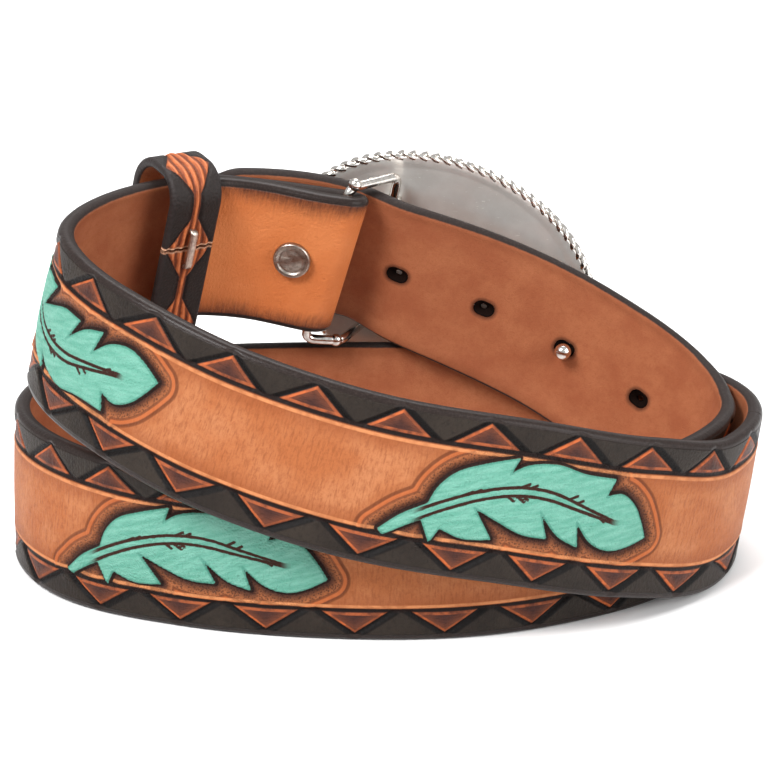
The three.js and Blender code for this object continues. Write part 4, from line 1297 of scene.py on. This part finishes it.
def plate_material():
    m = Shade("silver plate")
    back = m.value("back")
    spot = m.place()
    cloud = m.noise(spot, 0.12, 4, 0.6)
    scratch = m.noise(m.stretched(spot, 0.25, 0.25, 3.0), 1.5, 4, 0.7)
    color = m.blend(m.ease(cloud, 0.3, 0.7), paint("DED9D3"), paint("ECE8E3"))
    roughness = m.add(m.add(0.12, m.times(back, 0.1)), m.times(m.ease(scratch, 0.3, 0.8), 0.06))
    metallic = m.flip(m.times(back, 0.45))
    return m.finish(color, roughness, metallic, m.bump(m.add(scratch, m.times(cloud, 0.4)), 0.0006))


def plate_piece():
    shares = np.concatenate([np.linspace(0, 0.8, 26), np.linspace(0.81, 1, 26)])
    angle = np.linspace(0, 2 * math.pi, 240, endpoint=False)
    # Outer face: a plain dome, a stepped band and a fine bead inside the rope
    step = 0.35 * ease(shares, 0.83, 0.85) * (1 - ease(shares, 0.93, 0.95)) + 0.3 * bell(shares, 0.81, 0.008)
    over = plate_point(shares[:, None], angle[None], PLATE_THICK / 2 + step[:, None] + 0 * angle)
    hollow = 0.25 * ease(shares, 0.9, 0.97)
    under = plate_point(shares[:, None], angle[None], -PLATE_THICK / 2 - hollow[:, None] + 0 * angle)
    core = PLATE_CENTRE - PLATE_DOME * 0.5 * plate_face
    points = np.concatenate([under, over[::-1]])
    back = np.zeros(points.shape[:2])
    back[:len(under)] = 1.0
    material = plate_material()
    surface("buckle_face", points, material, "silver_plate", "buckle_plate", core, values={"back": back})


ROPE_LEADS = 38
STRAND_RADIUS = 0.8
STRAND_OUT = 0.62


def rope_pieces():
    samples = ROPE_LEADS * 20
    angle = np.linspace(0, 2 * math.pi, samples * 4, endpoint=False)
    rim = plate_point(np.ones_like(angle), angle, 0 * angle)
    steps = np.linalg.norm(np.roll(rim, -1, 0) - rim, axis=1)
    lengths = np.concatenate([[0], np.cumsum(steps)])
    marks = np.linspace(0, lengths[-1], samples, endpoint=False)
    even = np.interp(marks, lengths, np.append(angle, 2 * math.pi))
    one = np.ones_like(even)
    rim = plate_point(one, even, 0 * even)
    outward = unit(rim - plate_point(one * 0.99, even, 0 * even))
    turn = np.linspace(0, 2 * math.pi * ROPE_LEADS, samples, endpoint=False)
    for strand in (0, 1):
        phase = (turn + strand * math.pi)[:, None]
        line = rim + STRAND_OUT * (outward * np.cos(phase) + plate_face * np.sin(phase))
        tube(
            f"rope_strand_{strand + 1}", line, STRAND_RADIUS, silver, "silver_plate", "buckle_plate", 12,
            hoop=True, start=plate_face,
        )


plate_piece()
rope_pieces()


def bend_points(before, corner, after, reach, count):
    """Round bend at a corner that starts and ends reach away from it."""
    start = corner + unit(before - corner) * reach
    end = corner + unit(after - corner) * reach
    shares = np.linspace(0, 1, count)
    return [start * (1 - t) ** 2 + corner * 2 * t * (1 - t) + end * t * t for t in shares]


def post_pieces():
    distance = np.array([path.total - HOLE_FROM_TIP - HOLE_PITCH * FASTENED_HOLE])
    point, _, _, out = [v[0] for v in path.frame(distance)]
    head = point - out * (STRAP_THICK / 2 + BALL_RADIUS + CLEARANCE)
    bend = point + out * (STRAP_THICK / 2 + POST_RADIUS)
    foot = plate_point(np.array([0.78]), np.array([0.2]), np.array([-0.3]))[0]
    corner = bend_points(head, bend, foot, 2.0, 7)
    line = np.array([head, (head + corner[0]) / 2, *corner, (corner[-1] + foot) / 2, foot])
    radius = np.array([1.2, 1.25] + [POST_RADIUS] * (len(line) - 2))
    tube("post_stem", line, radius, silver, "silver_plate", "buckle_plate", 24)
    lathe("post_ball", ball_profile(BALL_RADIUS), head, out, silver, "silver_plate", "buckle_plate", 40)


post_pieces()

BAIL_PLAY = 1.1
BAIL_TOP = STRAP_WIDTH / 2 + CLEARANCE + WIRE_RADIUS + BAIL_PLAY
BAIL_BOTTOM = -BAIL_TOP
BAIL_REACH = 12.0
BAIL_SLANT = 2.5
BAIL_OUT_LOW = 10.25
BAIL_OUT_TOP = 7.9
BAIL_TOE = 6.5
BAIL_CORNER = 3.0
KNOB_RADIUS = 1.62
# Columns: ahead of the fold, out of the strap, up its width
BAIL = [
    (FOLD_SLANT * BAIL_TOP, -FOLD_RADIUS, BAIL_TOP),
    (FOLD_SLANT * BAIL_BOTTOM, -FOLD_RADIUS, BAIL_BOTTOM),
    (BAIL_TOE, -FOLD_RADIUS / 2, BAIL_BOTTOM),
    (BAIL_REACH, BAIL_OUT_LOW, BAIL_BOTTOM),
    (BAIL_REACH + BAIL_SLANT, BAIL_OUT_TOP, BAIL_TOP),
]
KNOBS = [
    ("bail_knob_top", FOLD_SLANT * BAIL_TOP + WIRE_RADIUS, -FOLD_RADIUS, BAIL_TOP + BAIL_PLAY),
    ("bail_knob_bottom", BAIL_TOE - WIRE_RADIUS, -FOLD_RADIUS / 2, BAIL_BOTTOM),
]


def bail_place(ahead, out, up):
    return fold_point - fold_along * ahead + fold_out * out + fold_up * up


def bail_pieces():
    corners_at = np.array([bail_place(*row) for row in BAIL])
    line = []
    for i, corner in enumerate(corners_at):
        before, after = corners_at[i - 1], corners_at[(i + 1) % len(corners_at)]
        line += bend_points(before, corner, after, BAIL_CORNER, 13)
    tube("bail_wire", line, WIRE_RADIUS, silver, "silver_plate", "buckle_bail", 20, hoop=True)
    for name, ahead, out, up in KNOBS:
        place = bail_place(ahead, out, up)
        lathe(name, ball_profile(KNOB_RADIUS), place, fold_up, silver, "silver_plate", "buckle_bail", 32)


bail_pieces()


def lug_piece(name, up):
    share = (up - BAIL_BOTTOM) / (BAIL_TOP - BAIL_BOTTOM)
    out = BAIL_OUT_LOW + (BAIL_OUT_TOP - BAIL_OUT_LOW) * share
    ahead = BAIL_REACH + BAIL_SLANT * share
    angle = np.linspace(0, 2 * math.pi, 72, endpoint=False)
    bore = WIRE_RADIUS + CLEARANCE
    shell = bore + LUG_WALL
    x, y = np.cos(angle), np.sin(angle)
    # The eye stretches towards the plate on its outer half
    stretch = np.where(y > 0, np.minimum(6.5, shell / np.maximum(np.abs(x), 0.05)), shell)
    outer_x = np.where(y > 0, np.clip(stretch * x, -shell, shell), shell * x)
    outer_y = np.where(y > 0, np.clip(stretch * y, 0, 6.0), shell * y)
    lean = (BAIL_OUT_TOP - BAIL_OUT_LOW) / (BAIL_TOP - BAIL_BOTTOM)
    tilt = BAIL_SLANT / (BAIL_TOP - BAIL_BOTTOM)
    rows = []
    soft = 0.25
    half = LUG_LONG / 2
    sections = [
        (bore, -half), (shell - soft, -half), (shell, -half + soft),
        (shell, half - soft), (shell - soft, half), (bore, half),
    ]
    for size, height in sections:
        px, py = (bore * x, bore * y) if size == bore else (outer_x * size / shell, outer_y * size / shell)
        level = up + height
        rows.append([
            bail_place(ahead + tilt * height + a, out + lean * height + b, level) for a, b in zip(px, py)
        ])
    points = held_under_plate(np.array(rows))
    wall = (bore + shell) / 2
    middle = np.array([bail_place(ahead + wall * a, out + wall * b, up) for a, b in zip(x, y)])
    surface(name, points, silver, "silver_plate", "buckle_plate", middle[None], hoop_rows=True)


lug_piece("bail_lug_top", UPPER_LUG)
lug_piece("bail_lug_bottom", LOWER_LUG)

# Floor, light and camera


def stage():
    bpy.ops.mesh.primitive_plane_add(size=8)
    floor = bpy.context.object
    floor.name = "floor"
    m = Shade("pale floor")
    floor.data.materials.append(m.finish((0.92, 0.92, 0.92, 1), 0.9))
    world = bpy.data.worlds.new("studio")
    world.use_nodes = True
    world.node_tree.nodes["Background"].inputs["Color"].default_value = (1, 1, 1, 1)
    world.node_tree.nodes["Background"].inputs["Strength"].default_value = 0.6
    bpy.context.scene.world = world
    # Columns: name, place, size, power
    lamps = [
        ("key", (-0.6, -0.65, 0.95), 0.4, 19.0),
        ("fill", (0.9, -0.5, 0.5), 0.7, 8.0),
        ("top", (0.1, 0.5, 1.1), 0.7, 10.0),
    ]
    for name, place, size, power in lamps:
        light = bpy.data.lights.new(name, "AREA")
        light.size = size
        light.energy = power
        lamp = bpy.data.objects.new(name, light)
        bpy.context.scene.collection.objects.link(lamp)
        lamp.location = place
        lamp.rotation_mode = "QUATERNION"
        lamp.rotation_quaternion = (Vector((0, 0, 0.04)) - Vector(place)).to_track_quat("-Z", "Y")


VIEW_TARGET = np.array([1.0, 15.5, 40.0])
VIEW_DISTANCE = 650.0
VIEW_HEIGHT = math.radians(20)
PIXELS_PER_MM = 4.12
PICTURE = 768


def camera():
    data = bpy.data.cameras.new("camera")
    data.sensor_width = 36
    data.lens = 36 * PIXELS_PER_MM * VIEW_DISTANCE / PICTURE
    data.clip_start = 0.01
    data.clip_end = 50
    eye = bpy.data.objects.new("camera", data)
    bpy.context.scene.collection.objects.link(eye)
    back = Vector((0, -math.cos(VIEW_HEIGHT), math.sin(VIEW_HEIGHT)))
    target = Vector((VIEW_TARGET + SHIFT) / 1000)
    eye.location = target + back * VIEW_DISTANCE / 1000
    eye.rotation_mode = "QUATERNION"
    eye.rotation_quaternion = (-back).to_track_quat("-Z", "Y")
    bpy.context.scene.camera = eye


stage()
camera()
bpy.context.scene.view_settings.view_transform = "Standard"
